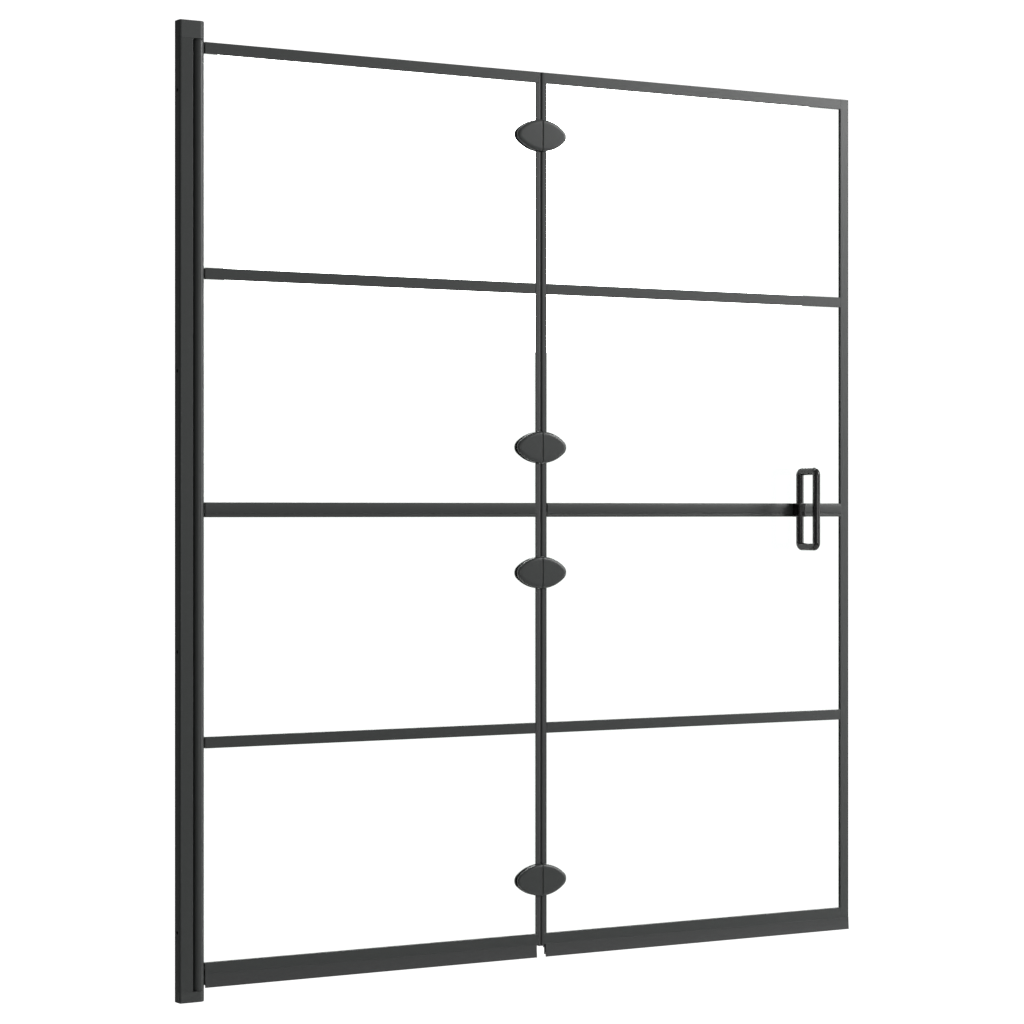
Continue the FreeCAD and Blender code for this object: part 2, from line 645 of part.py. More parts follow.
def hinge_leaf(side, z):
    leaf = eye(z, 0, PAD_FACE, LEAF_BACK_Y)
    leaf = leaf.makeChamfer(LEAF_BEVEL, edges_at_y(leaf, LEAF_BACK_Y))
    leaf = half_of(leaf, side, LEAF_SETBACK)
    own, other = knuckle_zones(side, z)
    relief = BARREL_RADIUS + BARREL_RELIEF
    for z0, z1 in other:
        leaf = leaf.cut(disc_z(FOLD_LINE_X, FOLD_AXIS_Y, z0 - RUN_GAP, z1 + RUN_GAP, relief))
    leaf = joined([leaf] + [disc_z(FOLD_LINE_X, FOLD_AXIS_Y, z0, z1, BARREL_RADIUS) for z0, z1 in own])
    half_all = KNUCKLE_LENGTH / 2
    bore = HINGE_PIN_RADIUS + BORE_GAP
    leaf = leaf.cut(disc_z(FOLD_LINE_X, FOLD_AXIS_Y, z - half_all, z + half_all, bore))
    x = FOLD_LINE_X + side * HINGE_SCREW_OFFSET
    seat_y = LEAF_BACK_Y - HINGE_SCREW_HEAD_HEIGHT
    for dz in (-HINGE_SCREW_SPREAD, HINGE_SCREW_SPREAD):
        leaf = leaf.cut(disc_y(x, z + dz, PAD_FACE, LEAF_BACK_Y, HINGE_SCREW_RADIUS + FIT_GAP))
        leaf = leaf.cut(disc_y(x, z + dz, seat_y, LEAF_BACK_Y, HINGE_SCREW_HEAD_RADIUS + FIT_GAP))
    return leaf


def hinge_faces(side):
    faces = []
    x = FOLD_LINE_X + side * HINGE_SCREW_OFFSET
    bevel = FACE_SEAM_BEVEL + RUN_GAP
    bite_y = -PAD_FACE - HINGE_SCREW_BITE
    for z in HINGE_HEIGHTS:
        face = eye(z, 0, FACE_FRONT_Y, -PAD_FACE)
        face = face.makeFillet(FACE_RIM_RADIUS, edges_at_y(face, FACE_FRONT_Y))
        corners = [point(FOLD_LINE_X - bevel, FACE_FRONT_Y, z - HINGE_HEIGHT),
                   point(FOLD_LINE_X + bevel, FACE_FRONT_Y, z - HINGE_HEIGHT),
                   point(FOLD_LINE_X, FACE_FRONT_Y + bevel, z - HINGE_HEIGHT)]
        groove = Part.Face(Part.makePolygon(corners + corners[:1])).extrude(point(0, 0, 2 * HINGE_HEIGHT))
        face = half_of(face.cut(groove), side, RUN_GAP)
        for dz in (-HINGE_SCREW_SPREAD, HINGE_SCREW_SPREAD):
            face = face.cut(disc_y(x, z + dz, bite_y, -PAD_FACE, HINGE_SCREW_RADIUS + BORE_GAP))
        faces.append(face)
    return faces


def hinge_pads(side):
    pads = []
    x = FOLD_LINE_X + side * HINGE_SCREW_OFFSET
    for z in HINGE_HEIGHTS:
        pad = half_of(eye(z, PAD_INSET, -PAD_FACE, -HALF_GLASS), side, GLASS_SETBACK + PAD_INSET)
        for dz in (-HINGE_SCREW_SPREAD, HINGE_SCREW_SPREAD):
            pad = pad.cut(disc_y(x, z + dz, -PAD_FACE, -HALF_GLASS, HINGE_SCREW_RADIUS + FIT_GAP))
        pads.append(pad)
        pads.append(behind(pad))
    return pads


def hinge_screws(side):
    tip_y = -PAD_FACE - HINGE_SCREW_BITE + FIT_GAP
    seat_y = LEAF_BACK_Y - HINGE_SCREW_HEAD_HEIGHT
    return [screw_from_back(x, z, tip_y, seat_y, HINGE_SCREW_RADIUS, HINGE_SCREW_HEAD_RADIUS,
                            HINGE_SCREW_HEAD_HEIGHT) for x, z in hinge_screw_places(side)]


def hinge_pins():
    half_all = KNUCKLE_LENGTH / 2
    return [disc_z(FOLD_LINE_X, FOLD_AXIS_Y, z - half_all, z + half_all, HINGE_PIN_RADIUS)
            for z in HINGE_HEIGHTS]


# Handle

def handle_loop():
    half = HANDLE_HEIGHT / 2 - HANDLE_BAR_RADIUS
    z0 = HANDLE_Z + HANDLE_RISE - half
    z1 = HANDLE_Z + HANDLE_RISE + half
    r = HANDLE_BEND
    near = r - r / math.sqrt(2)
    y0 = LOOP_FRONT_Y
    y1 = LOOP_BACK_Y

    def at(y, z):
        return point(HANDLE_X, y, z)

    path = Part.Wire([
        Part.LineSegment(at(y1, HANDLE_Z), at(y1, z1 - r)).toShape(),
        Part.Arc(at(y1, z1 - r), at(y1 - near, z1 - near), at(y1 - r, z1)).toShape(),
        Part.LineSegment(at(y1 - r, z1), at(y0 + r, z1)).toShape(),
        Part.Arc(at(y0 + r, z1), at(y0 + near, z1 - near), at(y0, z1 - r)).toShape(),
        Part.LineSegment(at(y0, z1 - r), at(y0, z0 + r)).toShape(),
        Part.Arc(at(y0, z0 + r), at(y0 + near, z0 + near), at(y0 + r, z0)).toShape(),
        Part.LineSegment(at(y0 + r, z0), at(y1 - r, z0)).toShape(),
        Part.Arc(at(y1 - r, z0), at(y1 - near, z0 + near), at(y1, z0 + r)).toShape(),
        Part.LineSegment(at(y1, z0 + r), at(y1, HANDLE_Z)).toShape(),
    ])
    ring = Part.Wire([Part.Circle(at(y1, HANDLE_Z), Z_AXIS, HANDLE_BAR_RADIUS).toShape()])
    loop = path.makePipeShell([ring], True, False)
    print("handle loop volume against its section times its length",
          loop.Volume / (math.pi * HANDLE_BAR_RADIUS ** 2 * path.Length))
    return loop


def handle_saddle():
    half_w = SADDLE_WIDTH / 2
    half_h = SADDLE_HEIGHT / 2
    saddle = box(HANDLE_X - half_w, HANDLE_X + half_w, SADDLE_FRONT_Y, SADDLE_BACK_Y,
                 HANDLE_Z - half_h, HANDLE_Z + half_h)
    front = [e for e in saddle.Edges if abs(e.BoundBox.YMax - SADDLE_FRONT_Y) < BORE_GAP
             and e.BoundBox.ZLength > e.BoundBox.XLength]
    saddle = saddle.makeFillet(SADDLE_EDGE_RADIUS, front)
    loop_bore = disc_z(HANDLE_X, LOOP_BACK_Y, HANDLE_Z - half_h, HANDLE_Z + half_h,
                       HANDLE_BAR_RADIUS + BORE_GAP)
    bolt_bore = disc_y(HANDLE_X, HANDLE_Z, LOOP_BACK_Y, SADDLE_BACK_Y, HANDLE_BOLT_RADIUS + BORE_GAP)
    grub_bore = disc_y(HANDLE_X, HANDLE_Z - GRUB_DROP, SADDLE_FRONT_Y, LOOP_BACK_Y, GRUB_RADIUS + BORE_GAP)
    return saddle.cut(loop_bore).cut(bolt_bore).cut(grub_bore)


def handle_grub_screw():
    tip_y = LOOP_BACK_Y - HANDLE_BAR_RADIUS - BORE_GAP
    grub = disc_y(HANDLE_X, HANDLE_Z - GRUB_DROP, SADDLE_FRONT_Y, tip_y, GRUB_RADIUS)
    key = socket(GRUB_RADIUS / 2).extrude(point(0, 0, SADDLE_FRONT_WALL / 2))
    key.rotate(point(0, 0, 0), X_AXIS, -90)
    key.translate(point(HANDLE_X, SADDLE_FRONT_Y, HANDLE_Z - GRUB_DROP))
    return grub.cut(key)


def handle_pads():
    half_w = SADDLE_WIDTH / 2 - PAD_INSET
    half_h = SADDLE_HEIGHT / 2 - PAD_INSET
    front = box(HANDLE_X - half_w, HANDLE_X + half_w, -PAD_FACE, -HALF_GLASS,
                HANDLE_Z - half_h, HANDLE_Z + half_h)
    back = disc_y(HANDLE_X, HANDLE_Z, HALF_GLASS, PAD_FACE, ROSETTE_RADIUS - PAD_INSET)
    hole = disc_y(HANDLE_X, HANDLE_Z, -PAD_FACE, PAD_FACE, HANDLE_BOLT_RADIUS + FIT_GAP)
    return [front.cut(hole), back.cut(hole)]


def handle_rosette():
    back_y = PAD_FACE + ROSETTE_THICKNESS
    rosette = disc_y(HANDLE_X, HANDLE_Z, PAD_FACE, back_y, ROSETTE_RADIUS)
    rosette = rosette.makeChamfer(ROSETTE_BEVEL, edges_at_y(rosette, back_y))
    return rosette.cut(disc_y(HANDLE_X, HANDLE_Z, PAD_FACE, back_y, HANDLE_BOLT_RADIUS + FIT_GAP))


def handle_bolt():
    tip_y = LOOP_BACK_Y + HANDLE_BAR_RADIUS + RUN_GAP
    return screw_from_back(HANDLE_X, HANDLE_Z, tip_y, PAD_FACE + ROSETTE_THICKNESS, HANDLE_BOLT_RADIUS,
                           HANDLE_BOLT_HEAD_RADIUS, HANDLE_BOLT_HEAD_HEIGHT)


def bar_height(share):
    return PANE_MIDDLE_Z + share * PANE_HEIGHT


def group(solids):
    return Part.makeCompound(solids)


def wall_pieces():
    return {
        "wall_rail": wall_rail(),
        "wall_channel": wall_channel(),
        "channel_strip": channel_strip(),
        "head_block": end_block(HEAD_FACE_Z, TOP_Z - CAP_THICKNESS, 1),
        "foot_block": end_block(FOOT_FACE_Z, BOTTOM_Z + CAP_THICKNESS, -1),
        "head_cap": end_cap(TOP_Z - CAP_THICKNESS, TOP_Z),
        "foot_cap": end_cap(BOTTOM_Z + CAP_THICKNESS, BOTTOM_Z),
        "head_bush": pivot_bush(HEAD_FACE_Z, 1),
        "foot_bush": pivot_bush(FOOT_FACE_Z, -1),
        "adjusting_screws": group(adjusting_screws()),
        "screw_caps": group(screw_caps()),
        "block_screws": group(block_screws()),
    }


def leaf_pieces(name, side):
    pieces = {
        name + "_glass": glass_pane(side),
        name + "_top_rail": top_rail(side),
        name + "_upper_bar": flat_bar(side, bar_height(BAR_SHARE)),
        name + "_middle_bar": middle_bar(side),
        name + "_lower_bar": flat_bar(side, bar_height(-BAR_SHARE)),
        name + "_upper_back_bar": behind(flat_bar(side, bar_height(BAR_SHARE))),
        name + "_middle_back_bar": middle_back_bar(side),
        name + "_lower_back_bar": behind(flat_bar(side, bar_height(-BAR_SHARE))),
        name + "_drip_rail": drip_rail(side),
        name + "_drip_seal": drip_seal(side),
        name + "_seam_seals": group(seam_seals(side)),
        name + "_hinge_faces": group(hinge_faces(side)),
        name + "_hinge_pads": group(hinge_pads(side)),
        name + "_hinge_screws": group(hinge_screws(side)),
    }
    for k, z in enumerate(HINGE_HEIGHTS):
        pieces["hinge_%d_%s_leaf" % (k + 1, name)] = hinge_leaf(side, z)
    return pieces


def post_pieces():
    return {
        "pivot_post": pivot_post(),
        "head_pivot_plug": pivot_plug(HEAD_FACE_Z, 1),
        "foot_pivot_plug": pivot_plug(FOOT_FACE_Z, -1),
        "post_gasket": post_gasket(),
        "hinge_pins": group(hinge_pins()),
    }


def handle_pieces():
    return {
        "edge_rail": edge_rail(),
        "handle_loop": handle_loop(),
        "handle_saddle": handle_saddle(),
        "handle_grub_screw": handle_grub_screw(),
        "handle_pads": group(handle_pads()),
        "handle_rosette": handle_rosette(),
        "handle_bolt": handle_bolt(),
    }


nodes = {}
nodes.update(wall_pieces())
nodes.update(post_pieces())
nodes.update(leaf_pieces("inner", -1))
nodes.update(leaf_pieces("outer", 1))
nodes.update(handle_pieces())
for node, shape in nodes.items():
    shape.exportStep("parts/" + node + ".step")
    bounds = shape.BoundBox
    print("%-24s %2d solids  valid %s  X %.2f %.2f  Y %.2f %.2f  Z %.2f %.2f" % (
        node, len(shape.Solids), shape.isValid(), bounds.XMin, bounds.XMax, bounds.YMin, bounds.YMax,
        bounds.ZMin, bounds.ZMax))
print(len(nodes), "nodes")
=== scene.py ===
# %% [markdown]
# # A folding shower screen in black and glass
#
# The object is a two-leaf shower screen for a bath. The inner leaf swings on a wall
# profile, and the outer leaf folds on four eye-shaped hinges. The construction comes from the packed
# model, in metres: X runs along the panes from the wall, Y goes through them away from
# the handle, and Z is up. This lesson gives every piece its finish, and models again, as
# smooth surfaces, the pieces whose soft curves the light plays on.

# %% Load the frame
import json
import math

import bpy
import numpy as np
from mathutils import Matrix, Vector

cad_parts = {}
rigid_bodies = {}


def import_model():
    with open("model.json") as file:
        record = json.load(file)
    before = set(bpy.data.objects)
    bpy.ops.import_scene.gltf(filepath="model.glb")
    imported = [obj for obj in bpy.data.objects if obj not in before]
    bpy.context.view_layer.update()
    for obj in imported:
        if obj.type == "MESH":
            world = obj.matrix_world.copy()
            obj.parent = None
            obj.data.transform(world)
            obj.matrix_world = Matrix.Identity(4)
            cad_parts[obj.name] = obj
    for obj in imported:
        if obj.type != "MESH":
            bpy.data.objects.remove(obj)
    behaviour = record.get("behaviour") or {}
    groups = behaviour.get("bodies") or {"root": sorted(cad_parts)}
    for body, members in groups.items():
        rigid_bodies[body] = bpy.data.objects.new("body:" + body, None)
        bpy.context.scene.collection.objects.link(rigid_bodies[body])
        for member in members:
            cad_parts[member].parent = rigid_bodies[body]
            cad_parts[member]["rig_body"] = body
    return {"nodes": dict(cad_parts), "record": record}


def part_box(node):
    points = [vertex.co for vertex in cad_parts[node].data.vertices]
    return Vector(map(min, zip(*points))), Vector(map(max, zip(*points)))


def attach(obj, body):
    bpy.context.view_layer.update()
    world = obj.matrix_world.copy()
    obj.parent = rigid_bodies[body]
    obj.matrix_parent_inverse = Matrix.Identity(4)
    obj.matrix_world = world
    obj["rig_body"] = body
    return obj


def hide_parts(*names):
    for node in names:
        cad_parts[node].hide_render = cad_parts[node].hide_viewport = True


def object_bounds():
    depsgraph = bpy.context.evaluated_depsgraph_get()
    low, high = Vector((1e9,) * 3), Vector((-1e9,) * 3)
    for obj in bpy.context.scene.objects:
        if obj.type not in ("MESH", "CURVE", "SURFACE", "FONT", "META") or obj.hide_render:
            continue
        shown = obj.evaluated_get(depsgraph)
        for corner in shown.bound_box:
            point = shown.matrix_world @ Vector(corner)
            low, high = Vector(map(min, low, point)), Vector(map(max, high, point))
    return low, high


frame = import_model()
NODES = frame["nodes"]
cad_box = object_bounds()
MM = 0.001
print("CAD box in metres:", [[round(v, 4) for v in corner] for corner in cad_box])

# %% [markdown]
# ## The camera
#
# The photograph is taken level with the middle of the screen, from the wall side, with a
# long lens. Its perspective gives the focal length in picture widths and the angle
# between the view and the depth axis, so the camera is placed by those numbers and not
# by eye.

# %% Camera
VIEW_ANGLE = math.radians(31.456)
FOCAL_IN_WIDTHS = 2985.2 / 1024
CAMERA_PLACE = (-1.8108, -3.8732, 0.0)
HORIZON_SHIFT = -0.0006
camera_data = bpy.data.cameras.new("camera")
camera_data.sensor_width = 36.0
camera_data.lens = camera_data.sensor_width * FOCAL_IN_WIDTHS
camera_data.shift_y = HORIZON_SHIFT
camera = bpy.data.objects.new("camera", camera_data)
camera.location = CAMERA_PLACE
camera.rotation_euler = (math.pi / 2, 0.0, -VIEW_ANGLE)
bpy.context.scene.collection.objects.link(camera)
bpy.context.scene.camera = camera
print("lens %.1f mm" % camera_data.lens)


# %% [markdown]
# ## Materials from nodes
#
# Every finish is a small node tree. Two helpers keep the trees short: one turns a
# picture colour, written as sRGB hex, into the linear colour that the renderer adds up,
# and one adds a node with its settings and its links.

# %% Material helpers
def linear(hex_colour):
    """sRGB to linear: small values are divided by 12.92, the others follow a 2.4 power."""
    parts = [int(hex_colour[i:i + 2], 16) / 255 for i in (1, 3, 5)]
    return tuple(c / 12.92 if c <= 0.04045 else ((c + 0.055) / 1.055) ** 2.4 for c in parts) + (1.0,)


def add_node(tree, kind, settings=None, inputs=None, links=None):
    """Adds one node, sets its properties and socket values, and links sockets to other nodes."""
    node = tree.nodes.new(kind)
    for key, value in (settings or {}).items():
        setattr(node, key, value)
    for key, value in (inputs or {}).items():
        node.inputs[key].default_value = value
    for key, (source, socket) in (links or {}).items():
        tree.links.new(source.outputs[socket], node.inputs[key])
    return node


def new_finish(name, **shader):
    """A material with one Principled shader, whose sockets are given by name."""
    material = bpy.data.materials.new(name)
    material.use_nodes = True
    tree = material.node_tree
    tree.nodes.clear()
    surface = add_node(tree, "ShaderNodeBsdfPrincipled", inputs=shader)
    add_node(tree, "ShaderNodeOutputMaterial", links={"Surface": (surface, "BSDF")})
    return material, tree, surface


def fine_bump(tree, surface, size_mm, height_mm, strength, stretch=(1, 1, 1)):
    """Noise bumps of one real size, as height in metres under the shader's normal."""
    coords = add_node(tree, "ShaderNodeTexCoord")
    place = add_node(tree, "ShaderNodeMapping", inputs={"Scale": stretch},
                     links={"Vector": (coords, "Object")})
    grain = add_node(tree, "ShaderNodeTexNoise",
                     inputs={"Scale": 1 / (size_mm * MM), "Detail": 2.0, "Roughness": 0.5},
                     links={"Vector": (place, "Vector")})
    bump = add_node(tree, "ShaderNodeBump",
                    inputs={"Strength": strength, "Distance": height_mm * MM},
                    links={"Height": (grain, "Fac")})
    tree.links.new(bump.outputs["Normal"], surface.inputs["Normal"])
    return grain


def mottle(tree, surface, source, socket, low, high):
    """Lets a pattern move one socket between two values, such as roughness."""
    spread = add_node(tree, "ShaderNodeMapRange",
                      inputs={"From Min": 0.3, "From Max": 0.7, "To Min": low, "To Max": high},
                      links={"Value": (source, "Fac")})
    tree.links.new(spread.outputs["Result"], surface.inputs[socket])


# %% [markdown]
# ## The finishes of this screen
#
# Aluminium profiles are powder coated: a black polyester powder is sprayed on and baked,
# which leaves a semi-matt skin with a faint orange peel about a millimetre across. The
# loop handle is bent from round bar, polished and lacquered, so it is glossier. The seals
# are extruded black rubber, the caps and blocks are moulded plastic, and the panes are
# clear tempered glass. One shader is enough for each: its grain is a bump of real size,
# and the same pattern moves the roughness a little, as on any real coat.

# %% Powder-coated aluminium
def powder_coat():
    """Baked polyester powder: dark, half matt, with a fine orange peel."""
    material, tree, surface = new_finish(
        "black_powder_coat", **{"Base Color": linear("#282b2a"), "Roughness": 0.36, "IOR": 1.5})
    peel = fine_bump(tree, surface, size_mm=1.1, height_mm=0.03, strength=0.35)
    mottle(tree, surface, peel, "Roughness", 0.32, 0.4)
    return material


# %% Lacquered handle
def satin_lacquer():
    """Black lacquer over polished brass: smooth, with clear soft highlights."""
    material, tree, surface = new_finish(
        "black_satin_lacquer", **{"Base Color": linear("#0b0b0b"), "Roughness": 0.2, "IOR": 1.5})
    peel = fine_bump(tree, surface, size_mm=2.0, height_mm=0.015, strength=0.2)
    mottle(tree, surface, peel, "Roughness", 0.17, 0.23)
    return material


# %% Tempered glass
def tempered_glass():
    """Clear float glass: no colour across 5 mm, a trace of green where it is seen edge on."""
    material, _, _ = new_finish(
        "tempered_glass", **{"Base Color": linear("#fbfefc"), "Roughness": 0.0, "IOR": 1.5,
                             "Transmission Weight": 1.0})
    return material


# %% Seal rubber
def seal_rubber():
    """Extruded rubber: matt black with the faint lines of the die along its length."""
    material, tree, surface = new_finish(
        "seal_rubber", **{"Base Color": linear("#232525"), "Roughness": 0.45, "IOR": 1.5})
    grain = fine_bump(tree, surface, size_mm=0.9, height_mm=0.02, strength=0.3)
    mottle(tree, surface, grain, "Roughness", 0.44, 0.58)
    return material


# %% Moulded plastic
def moulded_plastic():
    """Spark-eroded mould grain on black polyamide: even and matt."""
    material, tree, surface = new_finish(
        "moulded_polyamide", **{"Base Color": linear("#282b2a"), "Roughness": 0.48, "IOR": 1.5})
    grain = fine_bump(tree, surface, size_mm=0.6, height_mm=0.02, strength=0.3)
    mottle(tree, surface, grain, "Roughness", 0.44, 0.56)
    return material


# %% Stainless steel
def stainless_steel():
    """Turned stainless steel of screws and pins."""
    material, tree, surface = new_finish(
        "stainless_steel", **{"Base Color": linear("#b9b7b3"), "Metallic": 1.0, "Roughness": 0.28})
    lines = fine_bump(tree, surface, size_mm=0.5, height_mm=0.01, strength=0.25, stretch=(1, 0.1, 1))
    mottle(tree, surface, lines, "Roughness", 0.22, 0.34)
    return material


FINISHES = {
    "black_powder_coat": powder_coat(),
    "black_satin_lacquer": satin_lacquer(),
    "clear_glass": tempered_glass(),
    "black_rubber": seal_rubber(),
    "black_plastic": moulded_plastic(),
    "stainless_steel": stainless_steel(),
}
print("finishes:", ", ".join(sorted(FINISHES)))

# %% [markdown]
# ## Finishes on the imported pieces
#
# The record says which slot each node belongs to, so one loop gives every node the
# finish of its slot.

# %% Give each node its finish
SLOT_OF = {part["node"]: part["material_slot"] for part in frame["record"]["subparts"]}
for name, piece in NODES.items():
    piece.data.materials.clear()
    piece.data.materials.append(FINISHES[SLOT_OF[name]])
print(len(NODES), "nodes finished")

# %% [markdown]
# ## Surfaces as arrays
#
# The screen is mostly extrusions: an outline that runs along a straight line. So each
# new piece starts as rings of points in one numpy array, and one function joins the
# rings by faces. The outlines get small arcs in place of sharp corners, because those
# arcs are what catches the light along a real powder-coated edge.

# %% Rounded outline
def rounded(corners, radii, steps=6):
    """A closed outline with arcs for corners. An arc's centre lies on the corner's bisector, at
    radius / sin(half the corner's angle), and its points turn evenly from one side to the other."""
    corners = np.asarray(corners, float)
    back = np.roll(corners, 1, axis=0) - corners
    ahead = np.roll(corners, -1, axis=0) - corners
    back /= np.linalg.norm(back, axis=1, keepdims=True)
    ahead /= np.linalg.norm(ahead, axis=1, keepdims=True)
    along = np.linspace(0, 1, steps + 1)[:, None]
    runs = []
    for corner, a, b, radius in zip(corners, back, ahead, np.broadcast_to(radii, len(corners))):
        if radius == 0:
            runs.append(corner[None])
            continue
        half = np.arccos(a @ b) / 2
        centre = corner + (a + b) / np.linalg.norm(a + b) * radius / np.sin(half)
        first = corner + a * radius / np.tan(half) - centre
        last = corner + b * radius / np.tan(half) - centre
        turn = np.pi - 2 * half
        swung = np.sin((1 - along) * turn) * first + np.sin(along * turn) * last
        runs.append(centre + swung / np.sin(turn))
    outline = np.concatenate(runs)
    x, y = outline.T
    area = np.sum(x * np.roll(y, -1) - y * np.roll(x, -1)) / 2
    return outline if area > 0 else outline[::-1]


def shrunk(outline, depth):
    """The outline moved inwards by a depth: each point goes along the mitre of its two sides."""
    side = np.roll(outline, -1, axis=0) - outline
    inward = np.stack([-side[:, 1], side[:, 0]], axis=1)
    inward /= np.linalg.norm(side, axis=1, keepdims=True)
    before = np.roll(inward, 1, axis=0)
    return outline + depth * (inward + before) / (1 + np.sum(inward * before, axis=1, keepdims=True))


HOLD = 0.3


def with_holds(outline):
    """Adds two points to each long side, close to its ends. Smooth shading then bends the light only
    round the corner, and the side between them stays flat."""
    side = np.roll(outline, -1, axis=0) - outline
    length = np.linalg.norm(side, axis=1, keepdims=True)
    step = side / length * HOLD
    long_side = length[:, 0] > 4 * HOLD
    points = np.stack([outline, outline + step, outline + side - step], axis=1)
    return points[np.stack([np.full(len(outline), True), long_side, long_side], axis=1)]


example = with_holds(rounded([(0, 0), (10, 0), (10, 4), (0, 4)], 1.0))
print("a 10 x 4 bar with 1 mm corners has", len(example), "points")


# %% Rings to faces
def shell(rings, loop=False):
    """Joins each ring of points to the next by quads. The end rings are closed by a face each, or
    joined to each other for a loop. The enclosed volume, a sixth of the sum of the triple products
    of the triangles' corners, says whether the faces point outwards, and turns them if they don't."""
    count, around = rings.shape[:2]
    at = np.arange(count * around).reshape(count, around)
    first = at if loop else at[:-1]
    second = np.roll(at, -1, axis=0) if loop else at[1:]
    quads = np.stack([first, np.roll(first, -1, 1), np.roll(second, -1, 1), second], axis=-1)
    quads = quads.reshape(-1, 4)
    caps = [] if loop else [at[0, ::-1], at[-1]]
    points = rings.reshape(-1, 3)
    triangles = [quads[:, :3], quads[:, [0, 2, 3]]]
    triangles += [np.stack([np.full(around - 2, cap[0]), cap[1:-1], cap[2:]], axis=1) for cap in caps]
    a, b, c = points[np.concatenate(triangles)].transpose(1, 0, 2)
    if np.sum(a * np.cross(b, c)) < 0:
        quads = quads[:, ::-1]
        caps = [cap[::-1] for cap in caps]
    return points, quads.tolist() + [cap.tolist() for cap in caps]


def extruded(outline, axis, start, end, soft=(0.3, 0.3)):
    """Carries an outline straight along axis x, y or z. At both ends it shrinks by a softness times
    1 - sin and closes in by the softness times 1 - cos, which rounds the cut by a quarter circle."""
    outline = with_holds(outline)
    turn = np.linspace(0, np.pi / 2, 4)
    places = np.concatenate([start + soft[0] * (1 - np.cos(turn)),
                             [start + soft[0] + HOLD, end - soft[1] - HOLD],
                             end - soft[1] * (1 - np.cos(turn[::-1]))])
    depths = np.concatenate([soft[0] * (1 - np.sin(turn)), [0.0, 0.0],
                             soft[1] * (1 - np.sin(turn[::-1]))])
    kept = np.append(True, np.diff(places) > 0)
    return shell(np.stack([np.insert(shrunk(outline, depth), "xyz".index(axis), place, axis=1)
                           for place, depth in zip(places[kept], depths[kept])]))


def turned(profile, centre, axis, steps=48):
    """Turns a profile of (radius, place along the axis) round axis y or z through a centre."""
    turn = np.arange(steps) / steps * 2 * np.pi
    radius, along = np.array(profile, float).T[:, :, None]
    ring = np.stack([radius * np.cos(turn), radius * np.sin(turn), along + 0 * turn], axis=-1)
    order = {"y": [0, 2, 1], "z": [0, 1, 2]}[axis]
    return shell(ring[:, :, order] + np.array(centre, float))


# %% [markdown]
# A piece is one or more such shells in one mesh, in millimetres until here. It takes the
# place of the nodes that it is made for, so it rides on their body and wears their
# finish. Faces are smooth except the cut ends and where they meet at more than a set angle.

# %% Shells to a piece
SHARP_ANGLE = math.radians(32)


def make_piece(name, shells, *nodes):
    """Puts the shells into one mesh, scaled to metres, in place of the nodes."""
    points, faces, count = [], [], 0
    for places, polygons in shells:
        points.append(places)
        faces += [[corner + count for corner in polygon] for polygon in polygons]
        count += len(places)
    mesh = bpy.data.meshes.new(name)
    mesh.from_pydata((np.concatenate(points) * MM).tolist(), [], faces)
    mesh.materials.append(FINISHES[SLOT_OF[nodes[0]]])
    mesh.polygons.foreach_set("use_smooth", [len(face) == 4 for face in faces])
    mesh.set_sharp_from_angle(angle=SHARP_ANGLE)
    piece = bpy.data.objects.new(name, mesh)
    bpy.context.scene.collection.objects.link(piece)
    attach(piece, NODES[nodes[0]]["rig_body"])
    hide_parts(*nodes)
    print("%-24s %6d faces" % (name, len(faces)))


def place_mm(node):
    """A node's lowest and highest corner in millimetres: x0, y0, z0, x1, y1, z1."""
    low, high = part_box(node)
    return [value / MM for value in (*low, *high)]


# %% [markdown]
# ## Glazing bars and rails
#
# The bars are thin strips of aluminium, 16 mm high and 1.5 mm thick, bonded to both faces
# of the pane. The rails at the top and bottom grip the pane in a groove. All of them are
# cut from long lengths, so an outline carried along the pane is how they are really made.

# %% Flat bars
GLASS_FACE = 2.5
BAR_FACE = 4.0
EDGE_SOFT = 0.5


def bar_outline(face, z0, z1, soft):
    """A strip from the glass to its face, with soft corners at the face."""
    glass = GLASS_FACE if face > 0 else -GLASS_FACE
    return rounded([(glass, z0), (face, z0), (face, z1), (glass, z1)], [0.3, soft, soft, 0.3])


for leaf in ("inner", "outer"):
    for level in ("upper", "lower"):
        for back, face in (("", -BAR_FACE), ("_back", BAR_FACE)):
            node = "%s_%s%s_bar" % (leaf, level, back)
            x0, _, z0, x1, _, z1 = place_mm(node)
            outline = bar_outline(face, z0, z1, EDGE_SOFT)
            make_piece(node + "_strip", [extruded(outline, "x", x0, x1)], node)

# %% [markdown]
# The middle bar is deeper. Its face is slightly crowned and carries a long highlight, and
# under a fine groove it has a narrow lip. On the outer leaf it is cut out for the handle's
# saddle, and its partner on the back for the rosette.

# %% Middle bars
CROWN = 0.5
LIP_HEIGHT = 5.1
LIP_STEP = 0.5
GROOVE = 0.6
CROWN_INSET = 1.0
EDGE_DROP = 1.0
SADDLE_HALF = 7.4
ROSETTE_HALF = 11.2


